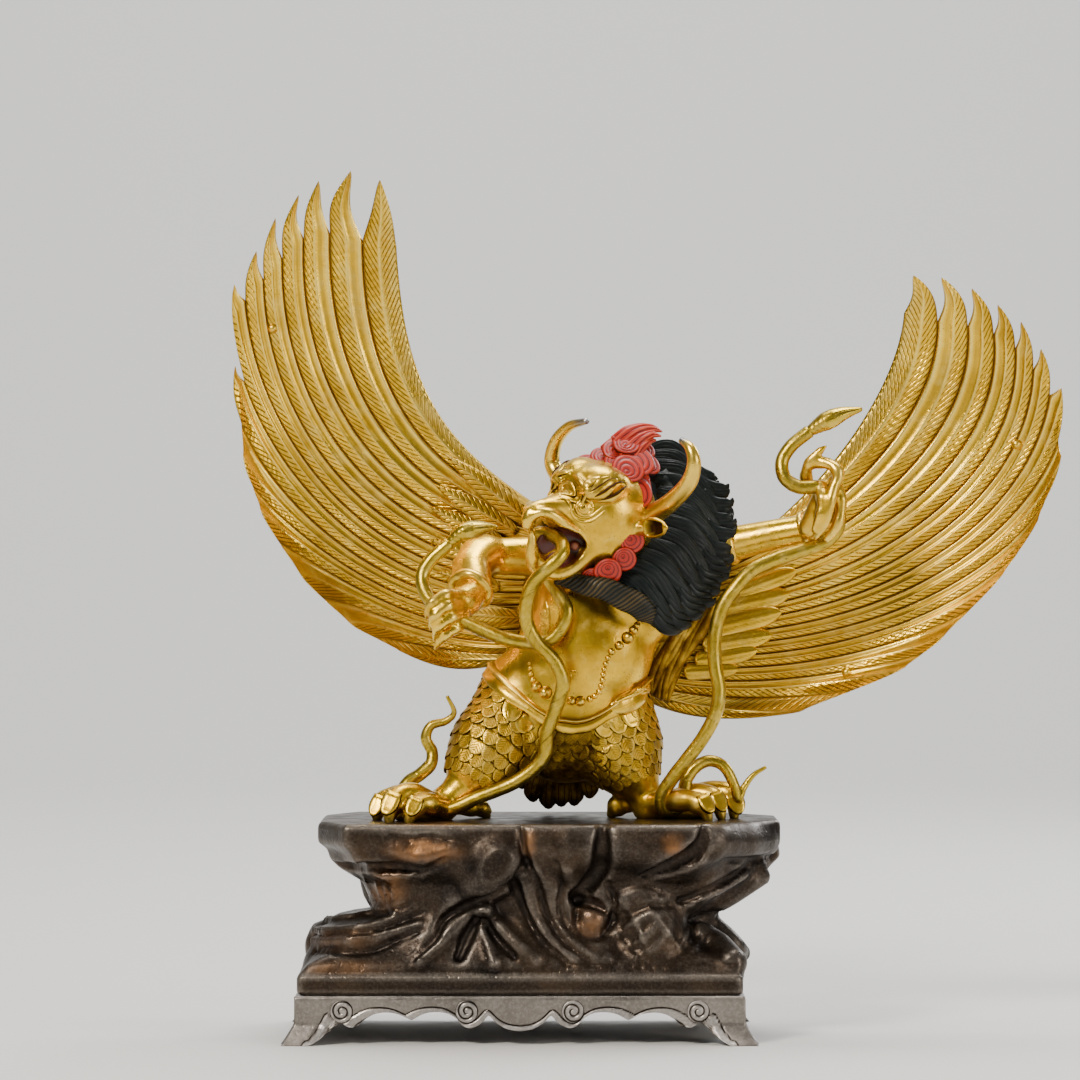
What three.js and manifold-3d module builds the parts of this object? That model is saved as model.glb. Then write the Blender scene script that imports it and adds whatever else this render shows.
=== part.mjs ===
import * as THREE from "three";
import { mergeVertices } from "three/addons/utils/BufferGeometryUtils.js";
import Module from "manifold-3d";

const wasm = await Module();
wasm.setup();

// Sizes in millimetres; x runs to the viewer's right, y to the back, z up.
const clearance = 0.3;
const figureHeight = 337.4;

const standHeight = 24.5;
const standLength = 229;
const standDepth = 130;
const toeFlare = 6.5;
const standWall = 4;
const standTop = 5;
const scrollRadius = 5.5;
const scrollRise = 0.8;

const plinthHeight = 87;
const plateHeight = 10.5;
const slabHeight = 16;
const slabLeft = 104;
const slabRight = 134.5;
const slabDepth = 125;
const waistShare = 0.78;
const foldDepth = 0.1;

// The figure keeps its proportions: its points are for a height of 337.4 above the slab.
const unit = figureHeight / 337.4;
const fit = clearance / unit;
const slabZ = standHeight + plinthHeight;

const featherCount = 13;
const valleyThickness = 2.4;
const ridgeThickness = 4.6;
const snakeRadius = 3.6;
const beadRadius = 1.7;

function toSolid(geometry) {
  const bare = geometry.clone();
  bare.deleteAttribute("normal");
  bare.deleteAttribute("uv");
  const merged = mergeVertices(bare, 1e-4);
  const at = merged.attributes.position;
  const corners = [];
  for (let i = 0; i < merged.index.count; i += 3) {
    const [a, b, c] = [0, 1, 2].map((k) => merged.index.getX(i + k));
    if (a !== b && b !== c && c !== a) {
      corners.push(a, b, c);
    }
  }
  let volume = 0;
  const p = [new THREE.Vector3(), new THREE.Vector3(), new THREE.Vector3()];
  for (let i = 0; i < corners.length; i += 3) {
    p.forEach((v, k) => v.fromBufferAttribute(at, corners[i + k]));
    volume += p[0].dot(p[1].cross(p[2]));
  }
  if (volume < 0) {
    for (let i = 0; i < corners.length; i += 3) {
      [corners[i], corners[i + 1]] = [corners[i + 1], corners[i]];
    }
  }
  const mesh = new wasm.Mesh({
    numProp: 3,
    vertProperties: Float32Array.from(at.array),
    triVerts: Uint32Array.from(corners),
  });
  return new wasm.Manifold(mesh);
}

function toGeometry(solid) {
  const mesh = solid.getMesh();
  const geometry = new THREE.BufferGeometry();
  geometry.setAttribute("position", new THREE.BufferAttribute(Float32Array.from(mesh.vertProperties), 3));
  geometry.setIndex(Array.from(mesh.triVerts));
  return geometry;
}

const joined = (solids) => wasm.Manifold.union(solids);
const vector = (p) => new THREE.Vector3(p[0], p[1], p[2]);
const mix = (a, b, s) => a + (b - a) * s;

function valueAt(list, u) {
  const place = Math.min(Math.max(u, 0), 1) * (list.length - 1);
  const low = Math.min(Math.floor(place), list.length - 2);
  return mix(list[low], list[low + 1], place - low);
}

// A closed round limb along a curve. Rings stay square to the curve; `across` fixes their turn,
// `wide` and `deep` squash them, and `teeth` moves every second vertex along the curve. On the
// first `scales` rings every second ring stands out by `step`, like rows of scales.
function limb(points, radii, sides, rows, shape = {}) {
  const { across = null, wide = 1, deep = 1, teeth = 0, step = 0, scales = 0, cap = 0.6 } = shape;
  const path = new THREE.CatmullRomCurve3(points.map(vector), false, "centripetal");
  const geometry = new THREE.SphereGeometry(1, sides, rows + 1);
  const at = geometry.attributes.position;
  const side = across ? vector(across) : new THREE.Vector3(0.31, 0.83, 0.46);
  for (let row = 0; row <= rows + 1; row += 1) {
    const ring = Math.min(Math.max(row - 1, 0), rows - 1);
    const scaly = ring < scales;
    const pair = Math.floor(ring / 2);
    const u = (scaly ? pair * 2 + (ring % 2) * 0.25 : ring) / (rows - 1);
    const along = path.getTangent(u);
    const n = side.clone().addScaledVector(along, -side.dot(along)).normalize();
    if (!across) {
      side.copy(n);
    }
    const b = along.clone().cross(n);
    const pole = row === 0 || row === rows + 1;
    const lift = scaly && ring > 0 && ring % 2 === 0 ? step : 0;
    const radius = pole ? 0 : valueAt(radii, u) + lift;
    const reach = pole || (scales && !scaly) ? 0 : teeth / 2;
    for (let i = 0; i <= sides; i += 1) {
      const angle = (i % sides) / sides * Math.PI * 2;
      const tooth = (i % sides + pair) % 2 ? reach : -reach;
      const p = path.getPoint(Math.min(Math.max(u + tooth, 0), 1));
      p.addScaledVector(n, Math.cos(angle) * radius * wide);
      p.addScaledVector(b, Math.sin(angle) * radius * deep);
      if (pole) {
        p.addScaledVector(along, valueAt(radii, u) * cap * (row ? 1 : -1));
      }
      at.setXYZ(row * (sides + 1) + i, p.x, p.y, p.z);
    }
  }
  return toSolid(geometry);
}

function ball(centre, radii, sides, rows) {
  const geometry = new THREE.SphereGeometry(1, sides, rows);
  geometry.scale(...radii);
  geometry.translate(...centre);
  return toSolid(geometry);
}

function box(low, high) {
  const geometry = new THREE.BoxGeometry(high[0] - low[0], high[1] - low[1], high[2] - low[2]);
  geometry.translate((low[0] + high[0]) / 2, (low[1] + high[1]) / 2, (low[2] + high[2]) / 2);
  return toSolid(geometry);
}

// Stacked rings of equal count, closed with flat caps.
function loft(rings) {
  const count = rings[0].length;
  const positions = rings.flat().flat();
  const index = [];
  for (let r = 0; r < rings.length - 1; r += 1) {
    for (let i = 0; i < count; i += 1) {
      const [a, b] = [r * count + i, r * count + (i + 1) % count];
      index.push(a, b, a + count, b, b + count, a + count);
    }
  }
  [0, rings.length - 1].forEach((r) => {
    const flat = rings[r].map((p) => new THREE.Vector2(p[0], p[1]));
    THREE.ShapeUtils.triangulateShape(flat, []).forEach(([a, b, c]) => {
      const face = r ? [a, b, c] : [a, c, b];
      index.push(...face.map((v) => v + r * count));
    });
  });
  const geometry = new THREE.BufferGeometry();
  geometry.setAttribute("position", new THREE.Float32BufferAttribute(positions, 3));
  geometry.setIndex(index);
  return toSolid(geometry);
}

// Stand: a hollow frame with four flared toes, scalloped on all sides.
const apronEdge = [[108.4, -0.05], [101.7, 0.18], [98.3, 0.45], [90, 0.4], [78.1, 0.59],
  [68.8, 0.67], [57.9, 0.54], [47.8, 0.67], [36, 0.59], [27.6, 0.4], [17.4, 0.49], [0, 0.31]];

function apronOpening(half, reach) {
  const toe = standDepth * 0.1;
  const right = apronEdge.map(([x, z]) => [x / 108.4 * (half - toe), z * standHeight]);
  const left = right.slice(0, -1).reverse().map(([x, z]) => [-x, z]);
  const shape = new THREE.Shape([...right, ...left].map(([x, z]) => new THREE.Vector2(x, z)));
  const geometry = new THREE.ExtrudeGeometry(shape, { depth: reach * 2, bevelEnabled: false });
  geometry.translate(0, 0, -reach);
  geometry.rotateX(Math.PI / 2);
  return geometry;
}

function makeStand() {
  const [hx, hy] = [standLength / 2, standDepth / 2];
  const rows = [[0, 1], [0.14, 0.6], [0.4, 0], [1, 0]];
  const outer = loft(rows.map(([share, flare]) => {
    const [x, y] = [hx + toeFlare * flare, hy + toeFlare * flare];
    const z = share * standHeight;
    return [[-x, -y, z], [x, -y, z], [x, y, z], [-x, y, z]];
  }));
  const [ix, iy] = [hx - standWall, hy - standWall];
  const hollow = box([-ix, -iy, -1], [ix, iy, standHeight - standTop]);
  const reach = standLength;
  const front = toSolid(apronOpening(hx + toeFlare, reach));
  const flank = toSolid(apronOpening(hy + toeFlare, reach).rotateZ(Math.PI / 2));
  const scrolls = [];
  [-0.79, -0.235, 0.235, 0.79].forEach((x) => {
    [-1, 1].forEach((face) => {
      const disc = new THREE.CylinderGeometry(scrollRadius, scrollRadius, standWall, 6);
      disc.translate(x * hx, face * (hy + scrollRise - standWall / 2), standHeight * 0.66);
      scrolls.push(toSolid(disc));
    });
  });
  return joined([outer.subtract(hollow).subtract(front).subtract(flank), ...scrolls]);
}

// Rock plinth: plan outlines as shares of its reach, cast along a ray at each angle.
const slabPlan = [[-0.86, -1], [0.7, -1], [1, -0.22], [1, 0.4],
  [0.76, 1], [-0.85, 1], [-1, 0.5], [-1, -0.5]];
const platePlan = [[-0.985, -1], [0.985, -1], [1, -0.97], [1, 0.97],
  [0.985, 1], [-0.985, 1], [-1, 0.97], [-1, -0.97]];
const waistPlan = [[-0.8, -0.92], [0.1, -1], [0.8, -0.85], [1, -0.3], [1, 0.4],
  [0.7, 0.95], [-0.2, 1], [-0.9, 0.8], [-1, 0], [-0.97, -0.5]];

function rayReach(plan, angle) {
  const [dx, dy] = [Math.cos(angle), Math.sin(angle)];
  for (let i = 0; i < plan.length; i += 1) {
    const [ax, ay] = plan[i];
    const [bx, by] = plan[(i + 1) % plan.length];
    const cross = dx * (by - ay) - dy * (bx - ax);
    const along = (ax * (by - ay) - ay * (bx - ax)) / cross;
    const part = (ax * dy - ay * dx) / cross;
    if (along > 0 && part > -1e-9 && part < 1 + 1e-9) {
      return along;
    }
  }
  return 1;
}

function makeRock() {
  const columns = 28;
  const bottom = standHeight + clearance;
  const plateTop = standHeight + plateHeight;
  const rise = slabZ - slabHeight - plateTop;
  const [px, py] = [standLength / 2 - 1, standDepth / 2 - 3];
  const depth = slabDepth / 2;
  const height = (share) => plateTop + rise * share;
  const w = waistShare;
  const rows = [
    [bottom, px, px, py, platePlan, 0],
    [plateTop - 2, px, px, py, platePlan, 0],
    [plateTop, px - 1.5, px - 1.5, py - 1.5, platePlan, 0],
    [height(0.2), px - 3.5, px - 3.5, py - 4, platePlan, 0.25],
    [height(0.35), px * 0.92, px * 0.9, py * 0.92, waistPlan, 0.7],
    [height(0.47), px * w, px * 0.88, depth * 0.84, waistPlan, 1],
    [height(0.58), slabLeft * w * 0.98, slabRight * w, depth * 0.82, waistPlan, 1.1],
    [height(0.72), slabLeft * w, slabRight * 0.86, depth * 0.86, waistPlan, 1],
    [height(0.88), slabLeft * 0.86, slabRight * 0.95, depth * 0.93, slabPlan, 0.7],
    [slabZ - slabHeight, slabLeft * 0.94, slabRight * 0.985, depth * 0.97, slabPlan, 0.35],
    [slabZ - slabHeight * 0.65, slabLeft, slabRight, depth, slabPlan, 0.15],
    [slabZ - 1.4, slabLeft, slabRight, depth, slabPlan, 0],
    [slabZ, slabLeft - 1.4, slabRight - 1.4, depth - 1.4, slabPlan, 0],
  ];
  const rings = rows.map(([z, left, right, deep, plan, fold]) => {
    const ring = [];
    for (let i = 0; i < columns; i += 1) {
      const angle = i / columns * Math.PI * 2;
      const sweep = (z - slabZ) / plinthHeight;
      const wave = Math.abs(Math.sin(angle * 5.5 + sweep * 4.2)) * 0.65
        + Math.abs(Math.sin(angle * 9 - sweep * 6 + 1)) * 0.35;
      const reach = rayReach(plan, angle) * (1 + foldDepth * fold * (wave - 0.75));
      const [x, y] = [Math.cos(angle) * reach, Math.sin(angle) * reach];
      ring.push([x * (x < 0 ? left : right), y * deep, z]);
    }
    return ring;
  });
  return loft(rings);
}

// Wings: thirteen feathers fan from a root line; each point list gives x and z, y follows from t.
const wings = {
  left: {
    root: [[11, 158], [1, 82.5]],
    bends: [[[-55.5, 192.9], [-79.2, 233.9]], [[-68.6, 106.7], [-142.2, 176]], [[-26.6, 80.4], [-47.6, 81.4]]],
    tips: [[-73.4, 332.7], [-88.6, 337.4], [-105.4, 332.1], [-115.9, 324.8], [-128, 312.7],
      [-138, 295.3], [-149.6, 278], [-149.1, 235.4], [-144.9, 189.2], [-135.9, 160.3],
      [-115.9, 127.7], [-89.7, 101.4], [-63.4, 86.7]],
    tenon: [[6, 29, 122], [16, 26, 120], [28, 18, 118]],
  },
  right: {
    root: [[97, 127], [57, 68]],
    bends: [[[167.9, 157.6], [228.3, 236.5]], [[173.1, 86.7], [262.5, 128.7]], [[89, 55.1], [120.6, 53]]],
    tips: [[205.2, 282.7], [219.9, 281.7], [235.7, 275.9], [249.3, 267.5], [261.4, 258.6],
      [271.9, 244.4], [282.5, 223.9], [282.5, 188.7], [270.4, 155], [252, 126.6],
      [221, 94], [200.5, 77.7], [146.9, 55.1]],
    tenon: [[76, 29, 96], [66, 25, 98], [55, 17, 102]],
  },
};

function throughThree(a, b, c, s) {
  const m = 7 / 12;
  const wa = (s - m) * (s - 1) / m;
  const wb = s * (s - 1) / (m * (m - 1));
  const wc = s * (s - m) / (1 - m);
  return a * wa + b * wb + c * wc;
}

function featherGuide(data, index) {
  const last = featherCount - 1;
  const share = index / last;
  const low = Math.min(Math.max(Math.floor(index), 0), last - 1);
  const pick = (a, b, k) => mix(a[k], b[k], index - low);
  const bend = (n, k) => throughThree(...data.bends.map((bends) => bends[n][k]), share);
  const flat = (k) => [mix(data.root[0][k], data.root[1][k], share), bend(0, k), bend(1, k),
    pick(data.tips[low], data.tips[low + 1], k)];
  const [xs, zs] = [flat(0), flat(1)];
  const corner = (n) => new THREE.Vector2(xs[n], zs[n]);
  return new THREE.CubicBezierCurve(corner(0), corner(1), corner(2), corner(3));
}

function makeWing(data, grow) {
  const [joinedRows, freeRows] = [4, 2];
  const positions = [];
  const index = [];
  const guides = new Map();
  const guide = (at) => {
    if (!guides.has(at)) {
      guides.set(at, featherGuide(data, at));
    }
    return guides.get(at);
  };
  const split = (at) => mix(0.8, 0.93, Math.min(Math.max(at / (featherCount - 1), 0), 1));
  const normalAt = (curve, t) => {
    const along = curve.getTangent(t);
    return [along, new THREE.Vector2(-along.y, along.x)];
  };
  const push = (p, t, half) => {
    const y = 28 + 34 * t * (1 - t) - 17 * t * t * t;
    positions.push(p.x, y - half, p.y, p.x, y + half, p.y);
    return positions.length / 3 - 2;
  };
  const thick = (column, t) => {
    const full = column === 1 ? ridgeThickness : valleyThickness;
    return full / 2 * mix(1, 0.55, t * t) + grow;
  };
  for (let feather = 0; feather < featherCount; feather += 1) {
    const grid = [];
    const border = [feather - 0.5, feather, feather + 0.5];
    const [alongJ, squareJ] = normalAt(guide(feather), split(feather));
    const centreJ = guide(feather).getPoint(split(feather));
    for (let row = 0; row <= joinedRows + freeRows; row += 1) {
      const s = Math.max(row - joinedRows, 0) / freeRows;
      grid.push(border.map((at, column) => {
        const t = row <= joinedRows ? split(at) * row / joinedRows : mix(split(feather), 1, s);
        if (row <= joinedRows) {
          const p = guide(at).getPoint(t);
          const outside = at < 0 || at > featherCount - 1 ? grow * Math.sign(at) : 0;
          const [, square] = normalAt(guide(at), t);
          return push(p.addScaledVector(square, outside), t, thick(column, t));
        }
        const [along, square] = normalAt(guide(feather), t);
        const off = guide(at).getPoint(split(at)).sub(centreJ);
        const p = guide(feather).getPoint(t);
        p.addScaledVector(along, off.dot(alongJ) * (1 - s));
        p.addScaledVector(square, off.dot(squareJ) * Math.pow(1 - s, 0.75));
        return push(p, t, thick(s === 1 ? 0 : column, t));
      }));
    }
    const quad = (a, b, c, d) => index.push(a, b, c, a, c, d);
    for (let row = 0; row < grid.length - 1; row += 1) {
      const [low, high] = [grid[row], grid[row + 1]];
      quad(low[0], low[1], high[1], high[0]);
      quad(low[1], low[2], high[2], high[1]);
      quad(low[0] + 1, high[0] + 1, high[2] + 1, low[2] + 1);
      if (row >= joinedRows || feather === 0) {
        quad(low[0], high[0], high[0] + 1, low[0] + 1);
      }
      if (row >= joinedRows || feather === featherCount - 1) {
        quad(low[2], low[2] + 1, high[2] + 1, high[2]);
      }
    }
    const root = grid[0];
    quad(root[0], root[0] + 1, root[2] + 1, root[2]);
    index.push(root[0], root[2], root[1]);
  }
  const geometry = new THREE.BufferGeometry();
  geometry.setAttribute("position", new THREE.Float32BufferAttribute(positions, 3));
  geometry.setIndex(index);
  const boss = limb(data.root.map(([x, z]) => [x, 28.5, z]), [3.5 + grow, 5 + grow, 3.5 + grow], 6, 3);
  const tenon = limb(data.tenon, [7.5 + grow, 7 + grow, 6 + grow], 7, 3);
  return joined([toSolid(geometry), boss, tenon]);
}

// Snakes: a smooth body from the head to the foot, then the tail beyond it.
const snakes = {
  left: {
    head: [[-12, -40, 151], [-20, -41, 150.5], [-29, -42, 148.5], [-36, -42, 143]],
    body: [[-36, -42, 143], [-46, -42, 134], [-50, -43, 126], [-48, -46, 117], [-42, -48, 110],
      [-27, -42, 102], [-4, -34, 93], [15, -34, 93], [24, -35, 107], [21, -33, 115],
      [15, -31, 124], [9, -31, 133], [8, -33, 141], [9, -38, 147.5], [14.5, -45, 147.5],
      [20.5, -52, 144], [21.5, -58, 138], [15, -60, 131], [6, -54, 121], [3, -47, 105],
      [8, -44, 93], [18, -42, 82], [22, -41, 72], [20, -38, 63], [14, -34, 46],
      [12, -32, 33], [-1, -30, 21], [-22, -30, 12], [-36, -28, 6], [-49, -22, 5],
      [-58, -15, 7.5], [-61, -10, 13.5], [-58, -9, 19], [-52, -11, 23], [-46.5, -12, 28]],
    tail: [[-58, -9, 19], [-52, -11, 23], [-46.5, -12, 28], [-45.7, -10, 34.7], [-48.9, -10, 41.9],
      [-46.3, -10, 48.2], [-38.5, -10, 50.7], [-34.3, -11, 54.9], [-37.9, -12, 63.8]],
    rows: 40,
  },
  right: {
    head: [[176, -22, 212], [166, -22, 209.5], [157, -22, 205.5], [149, -22, 200.5]],
    body: [[149, -22, 200.5], [139.6, -23, 192.9], [134.9, -24, 184.7], [136.3, -26, 176.4],
      [143.5, -27, 171.8], [152.3, -26, 171.8], [159.2, -22, 169.2], [164.2, -17, 161],
      [164.3, -16, 151.7], [159.1, -17, 144.5], [147.7, -19, 139.8], [127.9, -21, 133.1],
      [119, -23, 128.5], [110.1, -25, 119.3], [103.9, -25, 109.5], [100.3, -25, 95.1],
      [100.3, -25, 80.6], [102.4, -25, 67.3], [100.8, -25, 55.9], [94.7, -24, 43.5],
      [78.3, -20, 21.2], [73, -18, 12.3], [74, -16, 5.5], [80, -12, 4.5], [84, -11, 10],
      [86, -10, 20]],
    tail: [[84, -11, 10], [86, -10, 20], [91, -9, 27], [98, -8, 30], [105, -8, 27.5],
      [111, -8, 17], [113, -7, 10], [116, -5, 16], [121, -4, 22.5], [127.6, -3, 26.6]],
    rows: 30,
  },
};

function makeSnake(data, grow) {
  const r = snakeRadius + grow;
  const body = limb(data.body, [r * 0.85, r, r, r, r, r, r, r * 0.95], 5, data.rows);
  const tail = limb(data.tail, [r * 0.93, r * 0.9, r * 0.8, r * 0.55, 0.9 + grow], 5, 8);
  const leaf = { across: [0, 1, 0], wide: 1.15, deep: 0.9 };
  const head = limb(data.head, [1.3 + grow, r, r * 1.35, r * 0.95], 6, 4, leaf);
  return joined([body, tail, head]);
}

// Head, in its own frame: x to the near side, y to the back, z up.
const headCentre = [42.7, -24, 154.8];
const headForward = [-0.78, -0.61, -0.13];
const headUp = [0.06, -0.29, 0.96];

function headMatrix() {
  const back = vector(headForward).multiplyScalar(-1).normalize();
  const near = back.clone().cross(vector(headUp)).normalize();
  const matrix = new THREE.Matrix4().makeBasis(near, back, near.clone().cross(back));
  return matrix.setPosition(...headCentre);
}

// Each curl of the crest: centre and radius; the last three have a twin on the far side.
const curls = [[-13, 2, 27, 8], [-4, 9, 32, 9], [9, 15, 29, 10], [21, 8, 20, 9],
  [28, 4, -6, 8], [21, 1, -20, 9]];
const horns = [
  [[16, 8, 2], [27, 12, 9.5], [41, 12, 21], [51.6, 12, 33.5], [53.6, 12, 43.6], [49.8, 12, 49.9],
    [42.4, 12, 52.3]],
  [[-16, 8, 2], [-40, 12, 4], [-51.3, 12, 7.5], [-58.6, 12, 14], [-57, 12, 25], [-47, 12, 36.5],
    [-32.6, 12, 43.3]],
];

function makeHead() {
  const sideways = { across: [1, 0, 0] };
  const face = joined([
    ball([0, 1, 1], [25, 28, 27], 10, 7),
    limb([[0, -18, 4], [0, -31, 8], [0, -41, 11.5], [0, -48, 11.5], [0, -51, 7], [0, -49, 0.5]],
      [14, 9.5, 5.5, 4, 3, 1], 8, 6, sideways),
    limb([[0, -10, -12], [0, -25, -18], [0, -36, -19], [0, -44, -14], [0, -45, -4]],
      [16, 11, 7, 5, 2], 7, 5, sideways),
  ]);
  const mouth = ball([0, -33, -4], [15, 10, 8.5], 7, 5);
  const solids = [face.subtract(mouth)];
  [-1, 1].forEach((side) => {
    const at = (p) => [p[0] * side, p[1], p[2]];
    solids.push(ball(at([10.5, -22, 11]), [4.5, 4.5, 4.5], 6, 4));
    const brow = [[3, -27, 17], [11, -24, 19], [18, -17, 18], [22, -8, 17]].map(at);
    solids.push(limb(brow, [2.5, 5, 5.5, 2], 5, 4, { across: [0, 0, 1], wide: 0.8 }));
    const ear = [[19, 2, 0], [28, 3, 3], [37, 3, 5], [47, 3, 8]].map(at);
    solids.push(limb(ear, [4, 3.5, 6.5, 1], 5, 4, { across: [0, 0, 1], wide: 0.95, deep: 0.5 }));
  });
  horns.forEach((points) => {
    solids.push(limb(points, [5.8, 5.2, 4.7, 4.2, 3.6, 2.8, 1.5], 5, 8));
  });
  curls.forEach(([x, y, z, size], n) => {
    solids.push(ball([x, y, z], [size, 3.6, size], 6, 3));
    if (n > 2) {
      solids.push(ball([-x, y, z], [size, 3.6, size], 6, 3));
    }
  });
  solids.push(limb([[-2, 6, 32], [0, 16, 41], [0, 27, 44], [0, 36, 42]], [8, 7, 4.5, 1.2], 6, 4));
  solids.push(limb([[6, 12, 30], [5, 22, 37], [4, 31, 37]], [7, 5, 1.2], 5, 3));
  return joined(solids).transform(headMatrix().elements);
}

const maneLocks = [
  [[[55, -6, 178], [76, 4, 177], [94, 10, 166], [105, 12, 148]], [11, 15, 13, 4]],
  [[[56, -8, 165], [80, 0, 158], [98, 6, 146], [108, 10, 128]], [18, 20, 14, 3]],
  [[[56, -14, 150], [76, -6, 141], [92, 2, 127], [99, 6, 108]], [18, 18, 13, 3]],
  [[[52, -18, 136], [66, -14, 124], [80, -8, 112], [89, -2, 98]], [14, 14, 12, 3]],
  [[[17, -32, 125], [28, -35, 121], [41, -34, 117], [55, -28, 113], [67, -20, 107], [76, -10, 103]],
    [4, 6, 7, 8, 9, 5]],
  [[[50, 4, 172], [56, 18, 152], [62, 26, 126], [66, 27, 98]], [16, 21, 17, 5]],
  [[[28, 4, 158], [28, 14, 140], [30, 24, 118], [32, 25, 98]], [15, 18, 15, 5]],
];

const toes = [
  [[[-42, -14, 8], [-56, -14, 15], [-68, -16, 15], [-74, -18, 8], [-76, -20, 0]], 6],
  [[[-41, -22, 7], [-53, -28, 15], [-62, -34, 18], [-66, -38, 11], [-67, -41, 1]], 6],
  [[[-38, -24, 6], [-46, -34, 11], [-53, -40, 13], [-56, -43, 8], [-57, -45, 1]], 5.5],
  [[[-35, -14, 7], [-26, -6, 6], [-20, 0, 5], [-17, 3, 1]], 4.5],
  [[[68, -8, 8], [80, -18, 12], [89, -24, 13], [95, -27, 9], [97, -28, 1]], 5.5],
  [[[70, -2, 8], [88, -8, 15], [98, -12, 17], [103, -14, 12], [105, -16, 1]], 5.5],
  [[[67, 2, 8], [86, 8, 11], [102, 10, 13], [109, 11, 9], [111, 12, 1]], 6],
  [[[62, 0, 9], [53, 4, 8], [47, 6, 2]], 5],
];

const fingers = [
  [[-28, -42, 119], [-37, -53, 120], [-48, -54, 117], [-54, -48, 112]],
  [[-27, -43, 114], [-35, -54, 113], [-46, -56, 109], [-53, -50, 105]],
  [[-26, -42, 109], [-34, -52, 106], [-43, -54, 102], [-50, -49, 98]],
  [[-26, -38, 106], [-34, -46, 100], [-42, -48, 96], [-45, -46, 91]],
  [[155, -13, 166], [151, -19, 177], [149, -24, 184], [155, -26, 192]],
  [[159, -12, 168], [164, -17, 178], [162, -26, 184], [153, -29, 182]],
  [[163, -12, 164], [169, -17, 172], [169, -25, 177], [162, -29, 176]],
  [[163, -11, 158], [171, -18, 163], [172, -25, 165], [167, -28, 161]],
];

const beadRuns = [
  [[[63, 105], [60, 98], [55, 93], [51, 87], [50, 79], [49, 72], [45, 65]], 9],
  [[[7, 84], [7, 79], [8, 73], [12, 68]], 4],
];

function makeFigure(cutters) {
  const legShape = { across: [0, 1, 0], teeth: 0.06, step: 1.8, scales: 9 };
  const solids = [
    limb([[24, 3, 44], [24, 3, 52], [24, 2, 61], [27, -1, 74], [35, -2, 88], [39, 0, 103],
      [44, 3, 118], [48, 4, 131], [48, 2, 142]],
      [22, 34, 38, 35, 34, 33.5, 35, 37, 26], 10, 8, { across: [1, 0, 0], deep: 0.78 }),
    ball([38, -12, 90], [27, 20, 25], 8, 5),
    limb([[48, 4, 130], [45, -8, 142], [43, -16, 152]], [26, 21, 20], 7, 3),
    limb([[2, 2, 66], [-5, -2, 50], [-13, -7, 38], [-20, -12, 28], [-26, -15, 20], [-34, -18, 13],
      [-41, -19, 7]], [22, 23, 24, 19, 12, 8.5, 9], 8, 12, legShape),
    limb([[42, 4, 66], [46, 4, 50], [50, 3, 38], [55, 1, 28], [60, -1, 20], [64, -2, 13],
      [67, -3, 7]], [23, 24.5, 24, 18, 12, 8.5, 9], 8, 12, legShape),
    limb([[30, 8, 134], [5, 6, 136], [-14, 1, 136], [-22, -4, 136]], [14, 10.5, 9.5, 10], 7, 3),
    limb([[-18, -1, 137], [-25, -12, 130], [-24, -24, 120]], [10.5, 10.5, 9.5], 7, 3),
    limb([[-24.5, -20, 123], [-23.5, -27, 117]], [12.5, 12.5], 8, 2, { cap: 0.1 }),
    limb([[-23, -26, 118], [-30, -36, 113], [-37, -41, 111]], [7, 8, 5], 6, 3),
    limb([[86, 8, 138], [112, 3, 143], [130, -2, 147], [149, -8, 151]], [12, 9, 8, 7], 7, 3),
    limb([[146, -7, 150], [151, -9, 152]], [9.5, 9.5], 8, 2, { cap: 0.1 }),
    limb([[151, -9, 153], [158, -10, 160], [161, -11, 168]], [6.5, 9, 6], 6, 3,
      { across: [0, 1, 0], wide: 0.6 }),
  ];
  toes.forEach(([points, r]) => {
    solids.push(limb(points, [r, r * 1.05, r * 0.9, r * 0.6, 0.8], 5, 4));
  });
  fingers.forEach((points) => {
    solids.push(limb(points, [3.2, 3.2, 2.6, 0.8], 4, 3));
  });
  solids.push(limb([[24, 12, 52], [24, 22, 36], [24, 28, 20], [24, 30, 8]], [10, 13, 17, 20], 12, 5,
    { across: [0, 1, 0], wide: 0.3, teeth: 0.12, cap: 0 }));
  const beltRing = [];
  for (let i = 0; i <= 14; i += 1) {
    const angle = i / 14 * Math.PI * 2;
    const front = Math.max(0, -Math.sin(angle));
    beltRing.push([24 + 38.5 * Math.cos(angle), 2 + 30.5 * Math.sin(angle), 69 - 13 * front]);
  }
  solids.push(limb(beltRing, [1, 1], 4, 15, { across: [0, 0, 1], wide: 5, deep: 2.4, cap: 0 }));
  const skin = new THREE.Mesh(toGeometry(joined(solids.slice(0, 3))));
  const ray = new THREE.Raycaster();
  beadRuns.forEach(([points, count]) => {
    const run = new THREE.CatmullRomCurve3(points.map(([x, z]) => new THREE.Vector3(x, -200, z)));
    run.getSpacedPoints(count - 1).forEach((p) => {
      ray.set(p, new THREE.Vector3(0, 1, 0));
      const [hit] = ray.intersectObject(skin);
      const bead = new THREE.OctahedronGeometry(beadRadius, 0);
      solids.push(toSolid(bead.translate(p.x, hit.point.y - 0.3, p.z)));
    });
  });
  maneLocks.forEach(([points, radii]) => {
    solids.push(limb(points, radii, 6, 4));
  });
  solids.push(makeHead());
  let figure = joined(solids);
  cutters.forEach((cutter) => {
    figure = figure.subtract(cutter);
  });
  // A sliver that the snakes' channels cut loose is no part of the casting.
  return figure.decompose().reduce((a, b) => (a.volume() > b.volume() ? a : b));
}

const floorCut = box([-400, -400, -200], [500, 400, fit]);
const placed = (solid) => solid.subtract(floorCut).scale(unit).translate(0, 0, slabZ);
const seat = fit * 1.4;
const cutters = [makeWing(wings.left, fit), makeWing(wings.right, fit), makeSnake(snakes.left, seat),
  makeSnake(snakes.right, seat)];

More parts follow.
